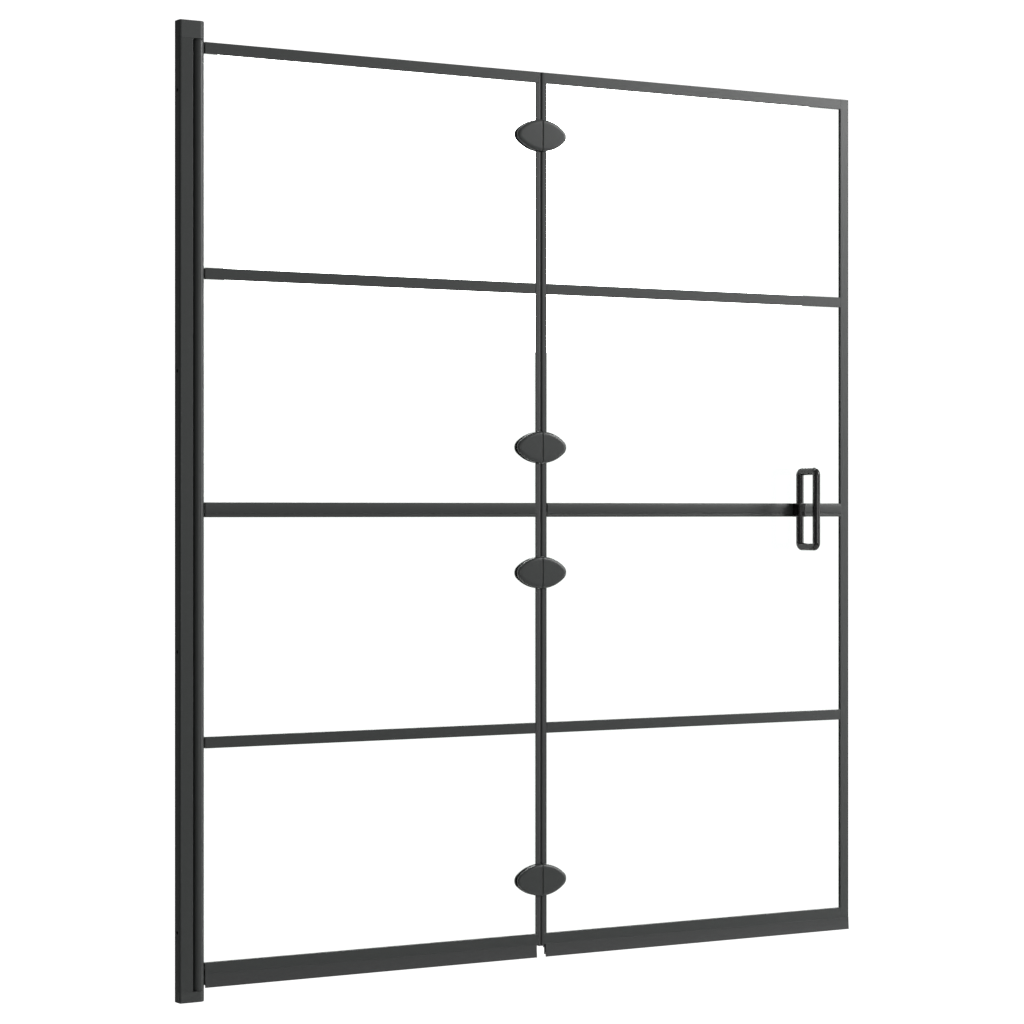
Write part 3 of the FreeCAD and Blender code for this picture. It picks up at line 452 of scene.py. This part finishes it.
def middle_outline(y0, z0, z1):
    """The crown is a parabola in height; the groove and the lip follow under it."""
    low = z0 + LIP_HEIGHT
    middle = (low + z1) / 2
    face = y0 + CROWN
    rise = np.linspace(low + CROWN_INSET, z1 - CROWN_INSET, 15)
    crown = face - CROWN * (1 - ((rise - middle) / (z1 - CROWN_INSET - middle)) ** 2)
    edge = face + EDGE_DROP
    lip = face + LIP_STEP
    corners = [(-GLASS_FACE, z0), (edge, z0), (lip, z0 + LIP_STEP), (lip, low - 2 * GROOVE),
               (edge, low - GROOVE), (edge, low)]
    corners += list(zip(crown, rise)) + [(edge, z1), (-GLASS_FACE, z1)]
    radii = [0.3, 0.3, 0.5, 0.3, 0.2, 0.2] + [0.8] + [0.0] * (len(rise) - 2) + [0.8, 0.8, 0.3]
    return rounded(corners, radii, steps=3)


def cut_runs(x0, x1, leaf, half):
    """The run of a bar, in two lengths where the handle's mount interrupts it."""
    if leaf == "inner":
        return [(x0, x1)]
    mount_x0, _, _, mount_x1, _, _ = place_mm("handle_loop")
    mount_x = (mount_x0 + mount_x1) / 2
    return [(x0, mount_x - half), (mount_x + half, x1)]


for leaf in ("inner", "outer"):
    x0, y0, z0, x1, _, z1 = place_mm(leaf + "_middle_bar")
    outline = middle_outline(y0, z0, z1)
    make_piece(leaf + "_middle_bar_strip",
               [extruded(outline, "x", *run) for run in cut_runs(x0, x1, leaf, SADDLE_HALF)],
               leaf + "_middle_bar")
    outline = bar_outline(BAR_FACE, z0, z1, EDGE_SOFT)
    make_piece(leaf + "_middle_back_bar_strip",
               [extruded(outline, "x", *run) for run in cut_runs(x0, x1, leaf, ROSETTE_HALF)],
               leaf + "_middle_back_bar")

# %% [markdown]
# The rails frame each pane. The top rail is a U over the pane's upper edge, the drip rail
# is an H that grips the pane above and the seal below, and the edge rail closes the free
# edge. Their grooves are modelled too, because the rails' ends show them. Above and below
# the pane the edge rail's groove is filled, so its ends look closed.

# %% Top rails, drip rails and the edge rail
GLASS_TOP = 669.4
GLASS_BOTTOM = -653.8
SEAL_GROOVE = 6.0
FIT_GAP = 0.2
PLUG_INSET = 0.3


def groove_rail(z0, z1, groove_z):
    """A U with its mouth at z0: the groove between its two walls holds the glass."""
    y = BAR_FACE
    g = GLASS_FACE
    return rounded([(-y, z0), (-y, z1), (y, z1), (y, z0),
                    (g, z0), (g, groove_z), (-g, groove_z), (-g, z0)],
                   [0.3, 0.6, 0.6, 0.3, 0.3, 0.2, 0.2, 0.3], steps=4)


def double_rail(z0, z1, low_z, high_z):
    """An H: the upper groove holds the glass, and the lower one the foot of the drip seal."""
    y = BAR_FACE
    g = GLASS_FACE
    return rounded([(-y, z0), (-y, z1), (-g, z1), (-g, high_z), (g, high_z), (g, z1), (y, z1), (y, z0),
                    (g, z0), (g, low_z), (-g, low_z), (-g, z0)],
                   [0.3, 0.4, 0.3, 0.2, 0.2, 0.3, 0.4, 0.3, 0.3, 0.2, 0.2, 0.3], steps=4)


for leaf in ("inner", "outer"):
    x0, _, z0, x1, _, z1 = place_mm(leaf + "_top_rail")
    outline = groove_rail(z0, z1, GLASS_TOP)
    make_piece(leaf + "_top_rail_profile", [extruded(outline, "x", x0, x1)], leaf + "_top_rail")
    x0, _, z0, x1, _, z1 = place_mm(leaf + "_drip_rail")
    outline = double_rail(z0, z1, z0 + SEAL_GROOVE, GLASS_BOTTOM)
    make_piece(leaf + "_drip_rail_profile", [extruded(outline, "x", x0, x1)], leaf + "_drip_rail")

x0, y0, z0, x1, y1, z1 = place_mm("edge_rail")
pocket_x = x1 - (BAR_FACE - GLASS_FACE)
grip = rounded([(x0, y0), (x1, y0), (x1, y1), (x0, y1), (x0, GLASS_FACE), (pocket_x, GLASS_FACE),
                (pocket_x, -GLASS_FACE), (x0, -GLASS_FACE)], [0.3, 0.9, 0.9, 0.3, 0.3, 0.2, 0.2, 0.3])
plug = np.array([(x0 + FIT_GAP, -GLASS_FACE), (pocket_x, -GLASS_FACE), (pocket_x, GLASS_FACE),
                 (x0 + FIT_GAP, GLASS_FACE)])
make_piece("edge_rail_profile",
           [extruded(grip, "z", z0, z1), extruded(plug, "z", GLASS_TOP, z1 - PLUG_INSET),
            extruded(plug, "z", z0 + PLUG_INSET, GLASS_BOTTOM)], "edge_rail")

# %% [markdown]
# ## Drip seals
#
# Under each pane hangs a rubber extrusion. Its foot sits in the drip rail's lower groove,
# its front skirt goes on flush with the rail and leans out a little towards its lip, and
# behind it a soft blade wipes over the rim of the bath.

# %% Drip seals
SKIRT_WALL = 1.5
BACK_DROP = 6.0
BLADE_HALF = 1.0
BLADE_DROP = 16.0
FOOT_HALF = GLASS_FACE - FIT_GAP
FOOT_DROP = 1.0


def drip_outline(y0, z0, top):
    """The skirt leans out by the square of the way down; the blade and the short back wall hang
    behind it."""
    down = np.linspace(0, 1, 9)[1:]
    skirt_z = top + (z0 - top) * down
    lean = (-BAR_FACE - y0) * down ** 2
    outside = list(zip(-BAR_FACE - lean, skirt_z))
    inside = list(zip(-BAR_FACE - lean + SKIRT_WALL, skirt_z))[::-1]
    under = top - SKIRT_WALL
    corners = [(-BAR_FACE, top)] + outside + inside[:-1]
    radii = [0.15] + [0.0] * 7 + [0.3, 0.3] + [0.0] * 6
    corners += [(-BAR_FACE + SKIRT_WALL, under), (-BLADE_HALF, under), (-BLADE_HALF, top - BLADE_DROP),
                (BLADE_HALF, top - BLADE_DROP), (BLADE_HALF, under), (BAR_FACE - SKIRT_WALL, under),
                (BAR_FACE - SKIRT_WALL, top - BACK_DROP), (BAR_FACE, top - BACK_DROP), (BAR_FACE, top)]
    radii += [0.4, 0.4, 0.6, 0.6, 0.4, 0.4, 0.4, 0.4, 0.2]
    return rounded(corners, radii, steps=3)


for leaf in ("inner", "outer"):
    x0, y0, z0, x1, _, z1 = place_mm(leaf + "_drip_seal")
    rail_z, foot_x1 = place_mm(leaf + "_drip_rail")[2], place_mm("edge_rail")[0]
    foot = rounded([(-FOOT_HALF, rail_z - FOOT_DROP), (FOOT_HALF, rail_z - FOOT_DROP),
                    (FOOT_HALF, z1), (-FOOT_HALF, z1)], 0.4)
    lip = extruded(drip_outline(y0, z0, rail_z), "x", x0, x1, soft=(0.2, 0.2))
    make_piece(leaf + "_drip_seal_lip", [lip, extruded(foot, "x", x0, min(x1, foot_x1))],
               leaf + "_drip_seal")

# %% [markdown]
# ## Hinges
#
# Each hinge is an almond with blunt tips: two long arcs run into two tip arcs without a
# corner. Moving inwards by a distance only shortens the arcs' radii, so the same function
# gives the outline at any depth.

# %% Almond outline
FOLD_X = 608.7
HINGE_LENGTH = 87.0
HINGE_HEIGHT = 48.4
TIP_RADIUS = 11.8
SEAM_HALF = 0.3
TIP_X = HINGE_LENGTH / 2 - TIP_RADIUS
HIGH = HINGE_HEIGHT / 2
LONG_RADIUS = (TIP_X ** 2 + HIGH ** 2 - TIP_RADIUS ** 2) / (2 * (HIGH - TIP_RADIUS))
LONG_DROP = LONG_RADIUS - HIGH
hinge_boxes = [place_mm("hinge_%d_inner_leaf" % k) for k in (1, 2, 3, 4)]
hinge_z = [(box[2] + box[5]) / 2 for box in hinge_boxes]
print("hinge heights:", [round(z, 1) for z in hinge_z])


def almond_height(dx):
    """Half the almond's height at a distance from the fold line: the long arc's height over its
    chord."""
    return np.sqrt(LONG_RADIUS ** 2 - dx ** 2) - LONG_DROP


def almond_depth(dx, dz):
    """How far inside the almond a point lies: the nearer arc's radius less the distance to its
    centre."""
    dx, dz = np.abs(dx), np.abs(dz)
    long_depth = LONG_RADIUS - np.hypot(dx, dz + LONG_DROP)
    tip_depth = TIP_RADIUS - np.hypot(dx - TIP_X, dz)
    beyond = dz * TIP_X < LONG_DROP * (dx - TIP_X)
    return np.where(beyond, tip_depth, long_depth)


# %% [markdown]
# A rubber seal grips each pane's edge at the fold line, and the two noses stand together
# when the screen is flat. The seals are cut where a hinge sits. So each length is the
# seal's plan carried upwards, and its ends are moved by the almond's height at each point,
# which makes the cut follow the hinge's curve.

# %% Seam seals
SEAL_HALF = 4.0
SEAL_REACH = 10.0
BACK_REACH = 7.2
NOSE_GAP = 0.04
NOSE_RADIUS = 3.0
FLANK_RADIUS = 1.0
RAIL_REACH = 4.6
RAIL_FLANK = 0.1
GLASS_SETBACK = 2.0
HINGE_GAP = 0.3


def seal_outline(side, reach, flank):
    """One seal in plan: a rounded nose at the fold line, and a slot that grips the pane's edge."""
    nose, glass = FOLD_X + side * NOSE_GAP, FOLD_X + side * GLASS_SETBACK
    far, back = FOLD_X + side * reach, FOLD_X + side * min(reach, BACK_REACH)
    corners = [(nose, -SEAL_HALF), (far, -SEAL_HALF), (far, -GLASS_FACE), (glass, -GLASS_FACE),
               (glass, GLASS_FACE), (back, GLASS_FACE), (back, SEAL_HALF), (nose, SEAL_HALF)]
    return with_holds(rounded(corners, [NOSE_RADIUS, flank, 0.1, 0.2, 0.2, 0.1, flank, NOSE_RADIUS]))


def seal_length(outline, low, high, hinge_below=False, hinge_above=False):
    """A length of seal from low to high. At a hinge, low or high is the hinge's middle, and the end
    follows its almond at a small gap."""
    clear = almond_height(outline[:, 0] - FOLD_X) + HINGE_GAP
    return shell(np.stack([np.column_stack([outline, low + hinge_below * clear]),
                           np.column_stack([outline, high - hinge_above * clear])]))


top_rail = place_mm("inner_top_rail")
drip_rail = place_mm("inner_drip_rail")
for leaf, side in (("inner", -1), ("outer", 1)):
    wide = seal_outline(side, SEAL_REACH, FLANK_RADIUS)
    narrow = seal_outline(side, RAIL_REACH, RAIL_FLANK)
    head, foot = top_rail[2] - FIT_GAP, drip_rail[5] + FIT_GAP
    lengths = [seal_length(wide, hinge_z[0], head, hinge_below=True),
               seal_length(wide, foot, hinge_z[-1], hinge_above=True),
               seal_length(narrow, head, top_rail[5]),
               seal_length(narrow, place_mm(leaf + "_seam_seals")[2], foot)]
    lengths += [seal_length(wide, low, high, True, True) for high, low in zip(hinge_z, hinge_z[1:])]
    make_piece(leaf + "_seam_seal_lengths", lengths, leaf + "_seam_seals")

# %% [markdown]
# The face of a hinge is two plates with a fine V between them at the fold line. The plate
# is a relief over the plane: its depth under the face is the larger of two functions, the
# soft rim, which is a quarter of an ellipse in the distance from the almond's edge, and
# the V, which falls off straight from the fold line.

# %% Hinge faces
FACE_FRONT = -9.2
FACE_BACK = -3.5
RIM_WIDTH = 5.2
RIM_DEPTH = 3.0
SEAM_BEVEL = 0.9
DOME = 0.35
RING_CENTRE = 17.0
RING_SHARES = 1 - np.array([0, .002, .008, .018, .03, .045, .065, .09, .12,
                            .155, .2, .25, .31, .38, .5, .65, .82, .95])


def face_relief(dx, dz):
    """Y of the face: the front plane, a slight dome, and the rim or the V, whichever lies deeper."""
    inset = np.clip(almond_depth(dx, dz), 0, RIM_WIDTH) / RIM_WIDTH
    rim = RIM_DEPTH * (1 - np.sqrt(1 - (1 - inset) ** 2))
    seam = np.clip(SEAM_BEVEL + SEAM_HALF - np.abs(dx), 0, None)
    dome = DOME * ((dx / (HINGE_LENGTH / 2)) ** 2 + (dz / HIGH) ** 2) / 2
    return FACE_FRONT + dome + np.maximum(rim, seam)


def half_almond(side, points=40):
    """The closed outline of one half: up the seam, along the long arc, round the tip and back."""
    lean = math.atan2(LONG_DROP, TIP_X)
    meet_x = TIP_X + TIP_RADIUS * math.cos(lean)
    arc_x = np.linspace(SEAM_HALF, meet_x, points)
    tip = np.linspace(lean, -lean, 24)[1:-1]
    top = np.column_stack([arc_x, almond_height(arc_x)])
    nose = np.column_stack([TIP_X + TIP_RADIUS * np.cos(tip), TIP_RADIUS * np.sin(tip)])
    rise = np.linspace(-1, 1, 30)[1:-1] * almond_height(SEAM_HALF)
    seam = np.column_stack([np.full(len(rise), SEAM_HALF), rise])
    outline = np.concatenate([top, nose, top[::-1] * (1, -1), seam])
    return outline * (side, 1)


def face_plate(side, z):
    """Rings of the half outline, scaled towards a point inside it, with their depth from the relief."""
    outline = half_almond(side)
    centre = np.array([side * RING_CENTRE, 0.0])
    rings = [np.column_stack([outline[:, 0], np.full(len(outline), FACE_BACK), outline[:, 1]])]
    for share in RING_SHARES:
        dx, dz = (centre + (outline - centre) * share).T
        rings.append(np.column_stack([dx, face_relief(dx, dz), dz]))
    return shell(np.stack(rings) + (FOLD_X, 0, z))


for leaf, side in (("inner", -1), ("outer", 1)):
    make_piece(leaf + "_hinge_face_plates", [face_plate(side, z) for z in hinge_z],
               leaf + "_hinge_faces")

# %% [markdown]
# ## Wall profile and pivot post
#
# The wall profile is a rounded C of aluminium that slides over a rail on the wall. Beside
# it turns the pivot post, a round bar with a slot for the pane. A block and a cap close
# the profile at each end, in one outline with it: rounded at the wall and half round at
# the post.

# %% Wall channel
CHANNEL_END = 20.8
CHANNEL_HALF = 9.0
CHANNEL_CORNER = 3.0
BACK_CORNER = 1.5
INSIDE_X0, INSIDE_X1, INSIDE_HALF, MOUTH_HALF = 1.5, 17.3, 7.5, 6.0
STRIP_X0, STRIP_X1, STRIP_HALF, NECK_HALF = 18.45, 19.65, 2.6, 1.2

half_channel = [(STRIP_X0, STRIP_HALF), (STRIP_X1, STRIP_HALF), (STRIP_X1, NECK_HALF),
                (CHANNEL_END, NECK_HALF), (CHANNEL_END, CHANNEL_HALF), (0, CHANNEL_HALF),
                (0, MOUTH_HALF), (INSIDE_X0, MOUTH_HALF), (INSIDE_X0, INSIDE_HALF),
                (INSIDE_X1, INSIDE_HALF)]
half_radii = [0.1, 0.1, 0.1, 0.3, 0.7, CHANNEL_CORNER, 0.3, 0.2, 0.3, 0.3]
channel_corners = half_channel + [(x, -y) for x, y in half_channel[::-1]]
channel_radii = [BACK_CORNER if r == CHANNEL_CORNER else r for r in half_radii] + half_radii[::-1]
_, _, z0, _, _, z1 = place_mm("wall_channel")
make_piece("wall_channel_profile",
           [extruded(rounded(channel_corners, channel_radii, steps=8), "z", z0, z1, soft=(0.1, 0.1))],
           "wall_channel")

# %% [markdown]
# The post is an extrusion too: its outline is an arc that ends at the two corners of the
# slot. The plugs in its ends are turned parts, a disc with a pin and a smaller spigot that
# sits in the post. Turning a short profile round an axis gives both.

# %% Pivot post and its plugs
POST_X = 32.0
POST_RADIUS = 9.0
POST_SLOT_X = 33.0
POST_SLOT_HALF = 4.0
PLUG_THICKNESS = 3.0
PIN_RADIUS = 3.0
SPIGOT_X = 28.0
SPIGOT_RADIUS = 3.15
SPIGOT_LENGTH = 20.0
PLUG_CHAMFER = 0.2
PLUG_SOFT = 0.5

slot_turn = math.asin(POST_SLOT_HALF / POST_RADIUS)
around = np.linspace(slot_turn, 2 * np.pi - slot_turn, 97)
arc = np.column_stack([POST_X + POST_RADIUS * np.cos(around), POST_RADIUS * np.sin(around)])
slot = [(POST_SLOT_X, -POST_SLOT_HALF), (POST_SLOT_X, POST_SLOT_HALF)]
post_outline = np.concatenate([arc, slot])
_, _, post_low, _, _, post_high = place_mm("pivot_post")
make_piece("pivot_post_profile",
           [extruded(post_outline, "z", post_low, post_high, soft=(0.15, 0.15))], "pivot_post")

for node, end, tip in (("head_pivot_plug", post_high, place_mm("head_pivot_plug")[5]),
                       ("foot_pivot_plug", post_low, place_mm("foot_pivot_plug")[2])):
    up = 1 if tip > end else -1
    face = end + up * PLUG_THICKNESS
    disc_and_pin = [(POST_RADIUS - PLUG_CHAMFER, end), (POST_RADIUS, end + up * PLUG_CHAMFER),
                    (POST_RADIUS, face - up * PLUG_SOFT), (POST_RADIUS - 0.15, face - up * 0.15),
                    (POST_RADIUS - PLUG_SOFT, face), (PIN_RADIUS, face),
                    (PIN_RADIUS, tip - up * PLUG_SOFT), (PIN_RADIUS - PLUG_SOFT, tip)]
    spigot = [(SPIGOT_RADIUS, end), (SPIGOT_RADIUS, end - up * SPIGOT_LENGTH)]
    make_piece(node + "_turned", [turned(disc_and_pin, (POST_X, 0, 0), "z"),
                                  turned(spigot, (SPIGOT_X, 0, 0), "z")], node)

# %% [markdown]
# A block goes on from the channel and holds by a tongue inside it. Its outline is the
# channel's rounded back and the post's half circle with straight sides between them. The
# cap repeats that outline and is soft at its outer edge.

# %% End blocks and caps
CAP_SOFT = 1.2
FILLER_GAP = 0.3
TONGUE_STEP = 0.1
end_turn = np.linspace(-np.pi / 2, np.pi / 2, 49)
nose = [(POST_X + POST_RADIUS * math.cos(a), POST_RADIUS * math.sin(a)) for a in end_turn]
end_outline = rounded(nose + [(0, CHANNEL_HALF), (0, -CHANNEL_HALF)],
                      [0.0] * len(nose) + [BACK_CORNER, CHANNEL_CORNER], steps=8)
filler_half, tongue_half = MOUTH_HALF - FILLER_GAP, INSIDE_HALF - FIT_GAP
tongue_x0, tongue_x1 = INSIDE_X0 + FIT_GAP, INSIDE_X1 - FIT_GAP
tongue = np.array([(0, -filler_half), (tongue_x0, -filler_half), (tongue_x0, -tongue_half),
                   (tongue_x1, -tongue_half), (tongue_x1, tongue_half), (tongue_x0, tongue_half),
                   (tongue_x0, filler_half), (0, filler_half)])
for end, channel_end in (("head", z1), ("foot", z0)):
    block, cap = place_mm(end + "_block"), place_mm(end + "_cap")
    inner_z, outer_z = (block[2], block[5]) if end == "head" else (block[5], block[2])
    up = 1 if end == "head" else -1
    body = extruded(end_outline, "z", *sorted((channel_end, outer_z)), soft=(0.2, 0.0)[::up])
    held = extruded(tongue, "z", *sorted((inner_z, channel_end - up * TONGUE_STEP)), soft=(0.1, 0.1))
    make_piece(end + "_block_body", [body, held], end + "_block")
    plate = extruded(end_outline, "z", cap[2], cap[5], soft=(0.0, CAP_SOFT)[::up])
    make_piece(end + "_cap_plate", [plate], end + "_cap")

# %% [markdown]
# Three round caps cover the screws that lock the channel on its rail. Their height falls
# by the sixth power of the distance from the middle, which leaves the middle flat and
# rounds the rim.

# %% Screw caps on the side away from the handle
caps = place_mm("screw_caps")
screw_x = (INSIDE_X0 + INSIDE_X1) / 2
cap_radius = (caps[3] - caps[0]) / 2
DOME_DROP = 1.6
reach = np.linspace(0.25, 1, 8)[::-1]
domed = [(cap_radius, caps[1])] + [(cap_radius * r, caps[4] - DOME_DROP * r ** 6) for r in reach]
make_piece("screw_cap_domes", [turned(domed, (screw_x, 0, z), "y")
                               for z in (caps[2] + cap_radius, 0.0, caps[5] - cap_radius)], "screw_caps")

# %% [markdown]
# ## Handle
#
# The handle is a round bar bent to a closed loop, square to the pane. Each point of its
# surface is the loop's centre line, moved sideways and outwards by the bar's radius times
# the sine and cosine of an angle. A saddle holds its near leg, and a bolt runs from it
# through the pane to a rosette on the back.

# %% Loop
BAR_RADIUS = 6.1
BEND_RADIUS = 6.5
loop_x0, loop_y0, loop_z0, loop_x1, loop_y1, loop_z1 = place_mm("handle_loop")
handle_x = (loop_x0 + loop_x1) / 2
near, far = loop_y1 - BAR_RADIUS, loop_y0 + BAR_RADIUS
low, high = loop_z0 + BAR_RADIUS, loop_z1 - BAR_RADIUS
corners = [(far, low), (near, low), (near, high), (far, high)]
centre_line = with_holds(rounded(corners, BEND_RADIUS, steps=14))
bar_turn = np.arange(32) / 32 * 2 * np.pi
loops = [np.insert(shrunk(centre_line, BAR_RADIUS * math.cos(a)), 0,
                   handle_x + BAR_RADIUS * math.sin(a), axis=1) for a in bar_turn]
make_piece("handle_loop_bar", [shell(np.stack(loops), loop=True)], "handle_loop")

# %% [markdown]
# The saddle is a small block between the loop and the pane, with wider arcs on its front.
# The rosette is a turned disc on the other face, with a hole for the bolt.

# %% Saddle and rosette
SADDLE_EDGE = 2.5
SADDLE_SOFT = 0.8
ROSETTE_SOFT = 1.2
BOLT_HOLE_RADIUS = 3.5
x0, y0, z0, x1, y1, z1 = place_mm("handle_saddle")
plan = rounded([(x0, y0), (x1, y0), (x1, y1), (x0, y1)],
               [SADDLE_EDGE, SADDLE_EDGE, SADDLE_SOFT, SADDLE_SOFT], steps=8)
make_piece("handle_saddle_block",
           [extruded(plan, "z", z0, z1, soft=(SADDLE_SOFT, SADDLE_SOFT))], "handle_saddle")

rosette = place_mm("handle_rosette")
rosette_z = (rosette[2] + rosette[5]) / 2
rosette_radius = (rosette[3] - rosette[0]) / 2
quarter = np.linspace(0, np.pi / 2, 6)
edge = [(rosette_radius - ROSETTE_SOFT * (1 - math.cos(a)),
         rosette[4] - ROSETTE_SOFT * (1 - math.sin(a))) for a in quarter]
profile = [(rosette_radius, rosette[1])] + edge + [(BOLT_HOLE_RADIUS, rosette[4])]
make_piece("handle_rosette_disc", [turned(profile, (handle_x, 0, rosette_z), "y", steps=64)],
           "handle_rosette")

# %% [markdown]
# ## Floor and light
#
# The photograph is a studio cut-out: white all round, and no shadow. A pale round floor
# lies as far below the screen as a bath is high. It belongs to the stage and not to the
# screen.

# %% Floor
FLOOR_DROP = 0.6
FLOOR_RADIUS = 2.4
floor_z = cad_box[0][2] - FLOOR_DROP
turn = np.linspace(0, 2 * np.pi, 97)[:-1]
middle = (cad_box[0][0] + cad_box[1][0]) / 2
rim = np.stack([middle + FLOOR_RADIUS * np.cos(turn), FLOOR_RADIUS * np.sin(turn),
                np.full(turn.shape, floor_z)], axis=1)
floor_mesh = bpy.data.meshes.new("floor")
floor_mesh.from_pydata(rim.tolist(), [], [list(range(len(rim)))])
floor = bpy.data.objects.new("floor", floor_mesh)
bpy.context.scene.collection.objects.link(floor)
pale, _, _ = new_finish("pale_floor", **{"Base Color": linear("#f4f4f3"), "Roughness": 0.8})
floor_mesh.materials.append(pale)
print("floor at z = %.2f m" % floor_z)

# %% [markdown]
# The sky is white where it is looked at, directly or through the panes, and dim where it
# only lights and mirrors, because the dark pieces mirror a dim room. It is a little
# brighter on the side where most of the lamps stand.

# %% Sky
SKY_SEEN = 1.12
SKY_LIGHT = 0.44
SKY_DARK = 0.13
LIGHT_SIDE = (0.55, -0.8, 0.24)
world = bpy.data.worlds.new("studio")
bpy.context.scene.world = world
world.use_nodes = True
sky = world.node_tree
sky.nodes.clear()
path = add_node(sky, "ShaderNodeLightPath")
looked_at = add_node(sky, "ShaderNodeMath", {"operation": "MAXIMUM"},
                     links={0: (path, "Is Camera Ray"), 1: (path, "Is Transmission Ray")})
direction = add_node(sky, "ShaderNodeTexCoord")
facing = add_node(sky, "ShaderNodeVectorMath", {"operation": "DOT_PRODUCT"}, inputs={1: LIGHT_SIDE},
                  links={0: (direction, "Generated")})
ambient = add_node(sky, "ShaderNodeMapRange",
                   inputs={"From Min": -1.0, "From Max": 1.0, "To Min": SKY_DARK, "To Max": SKY_LIGHT},
                   links={"Value": (facing, "Value")})
strength = add_node(sky, "ShaderNodeMapRange", inputs={"To Max": SKY_SEEN},
                    links={"Value": (looked_at, 0), "To Min": (ambient, "Result")})
glow = add_node(sky, "ShaderNodeBackground", inputs={"Color": (1.0, 1.0, 1.0, 1.0)},
                links={"Strength": (strength, "Result")})
add_node(sky, "ShaderNodeOutputWorld", links={"Surface": (glow, "Background")})
bpy.context.scene.view_settings.view_transform = "Standard"
print("sky: %.2f where it is seen, %.2f to %.2f as light" % (SKY_SEEN, SKY_DARK, SKY_LIGHT))

# %% [markdown]
# Five large flat lamps stand in for a studio's soft boxes: above at the right, at the right
# side, far in front, overhead and behind. The one far in front draws the streaks along the
# handle's uprights. Each is set by where it stands and what it looks at, which is easier to
# change than two angles.


# %% Lamps
def soft_light(name, place, target, width, height, power):
    """A flat lamp at a place, turned to face a target: a turn about Z follows a tilt from
    straight down."""
    data = bpy.data.lights.new(name, "AREA")
    data.shape = "RECTANGLE"
    data.size = width
    data.size_y = height
    data.energy = power
    lamp = bpy.data.objects.new(name, data)
    lamp.location = place
    away = np.array(place) - np.array(target)
    flat = math.hypot(away[0], away[1])
    lamp.rotation_euler = (math.atan2(flat, away[2]), 0.0, math.atan2(away[1], away[0]) + math.pi / 2)
    bpy.context.scene.collection.objects.link(lamp)
    print("%-12s %4.0f W" % (name, power))


soft_light("right_lamp", (4.3, -2.9, 2.1), (0.9, 0.0, 0.1), 1.5, 1.8, 130.0)
soft_light("side_lamp", (3.9, -2.0, 0.0), (1.1, 0.0, 0.0), 1.0, 2.2, 36.0)
soft_light("front_lamp", (0.7, -8.0, 0.0), (1.1, 0.0, 0.0), 1.9, 1.2, 45.0)
soft_light("top_lamp", (0.6, 0.3, 3.2), (0.6, 0.0, 0.0), 2.0, 1.2, 50.0)
soft_light("back_lamp", (2.4, 3.0, 1.2), (0.6, 0.0, 0.0), 1.6, 1.6, 40.0)
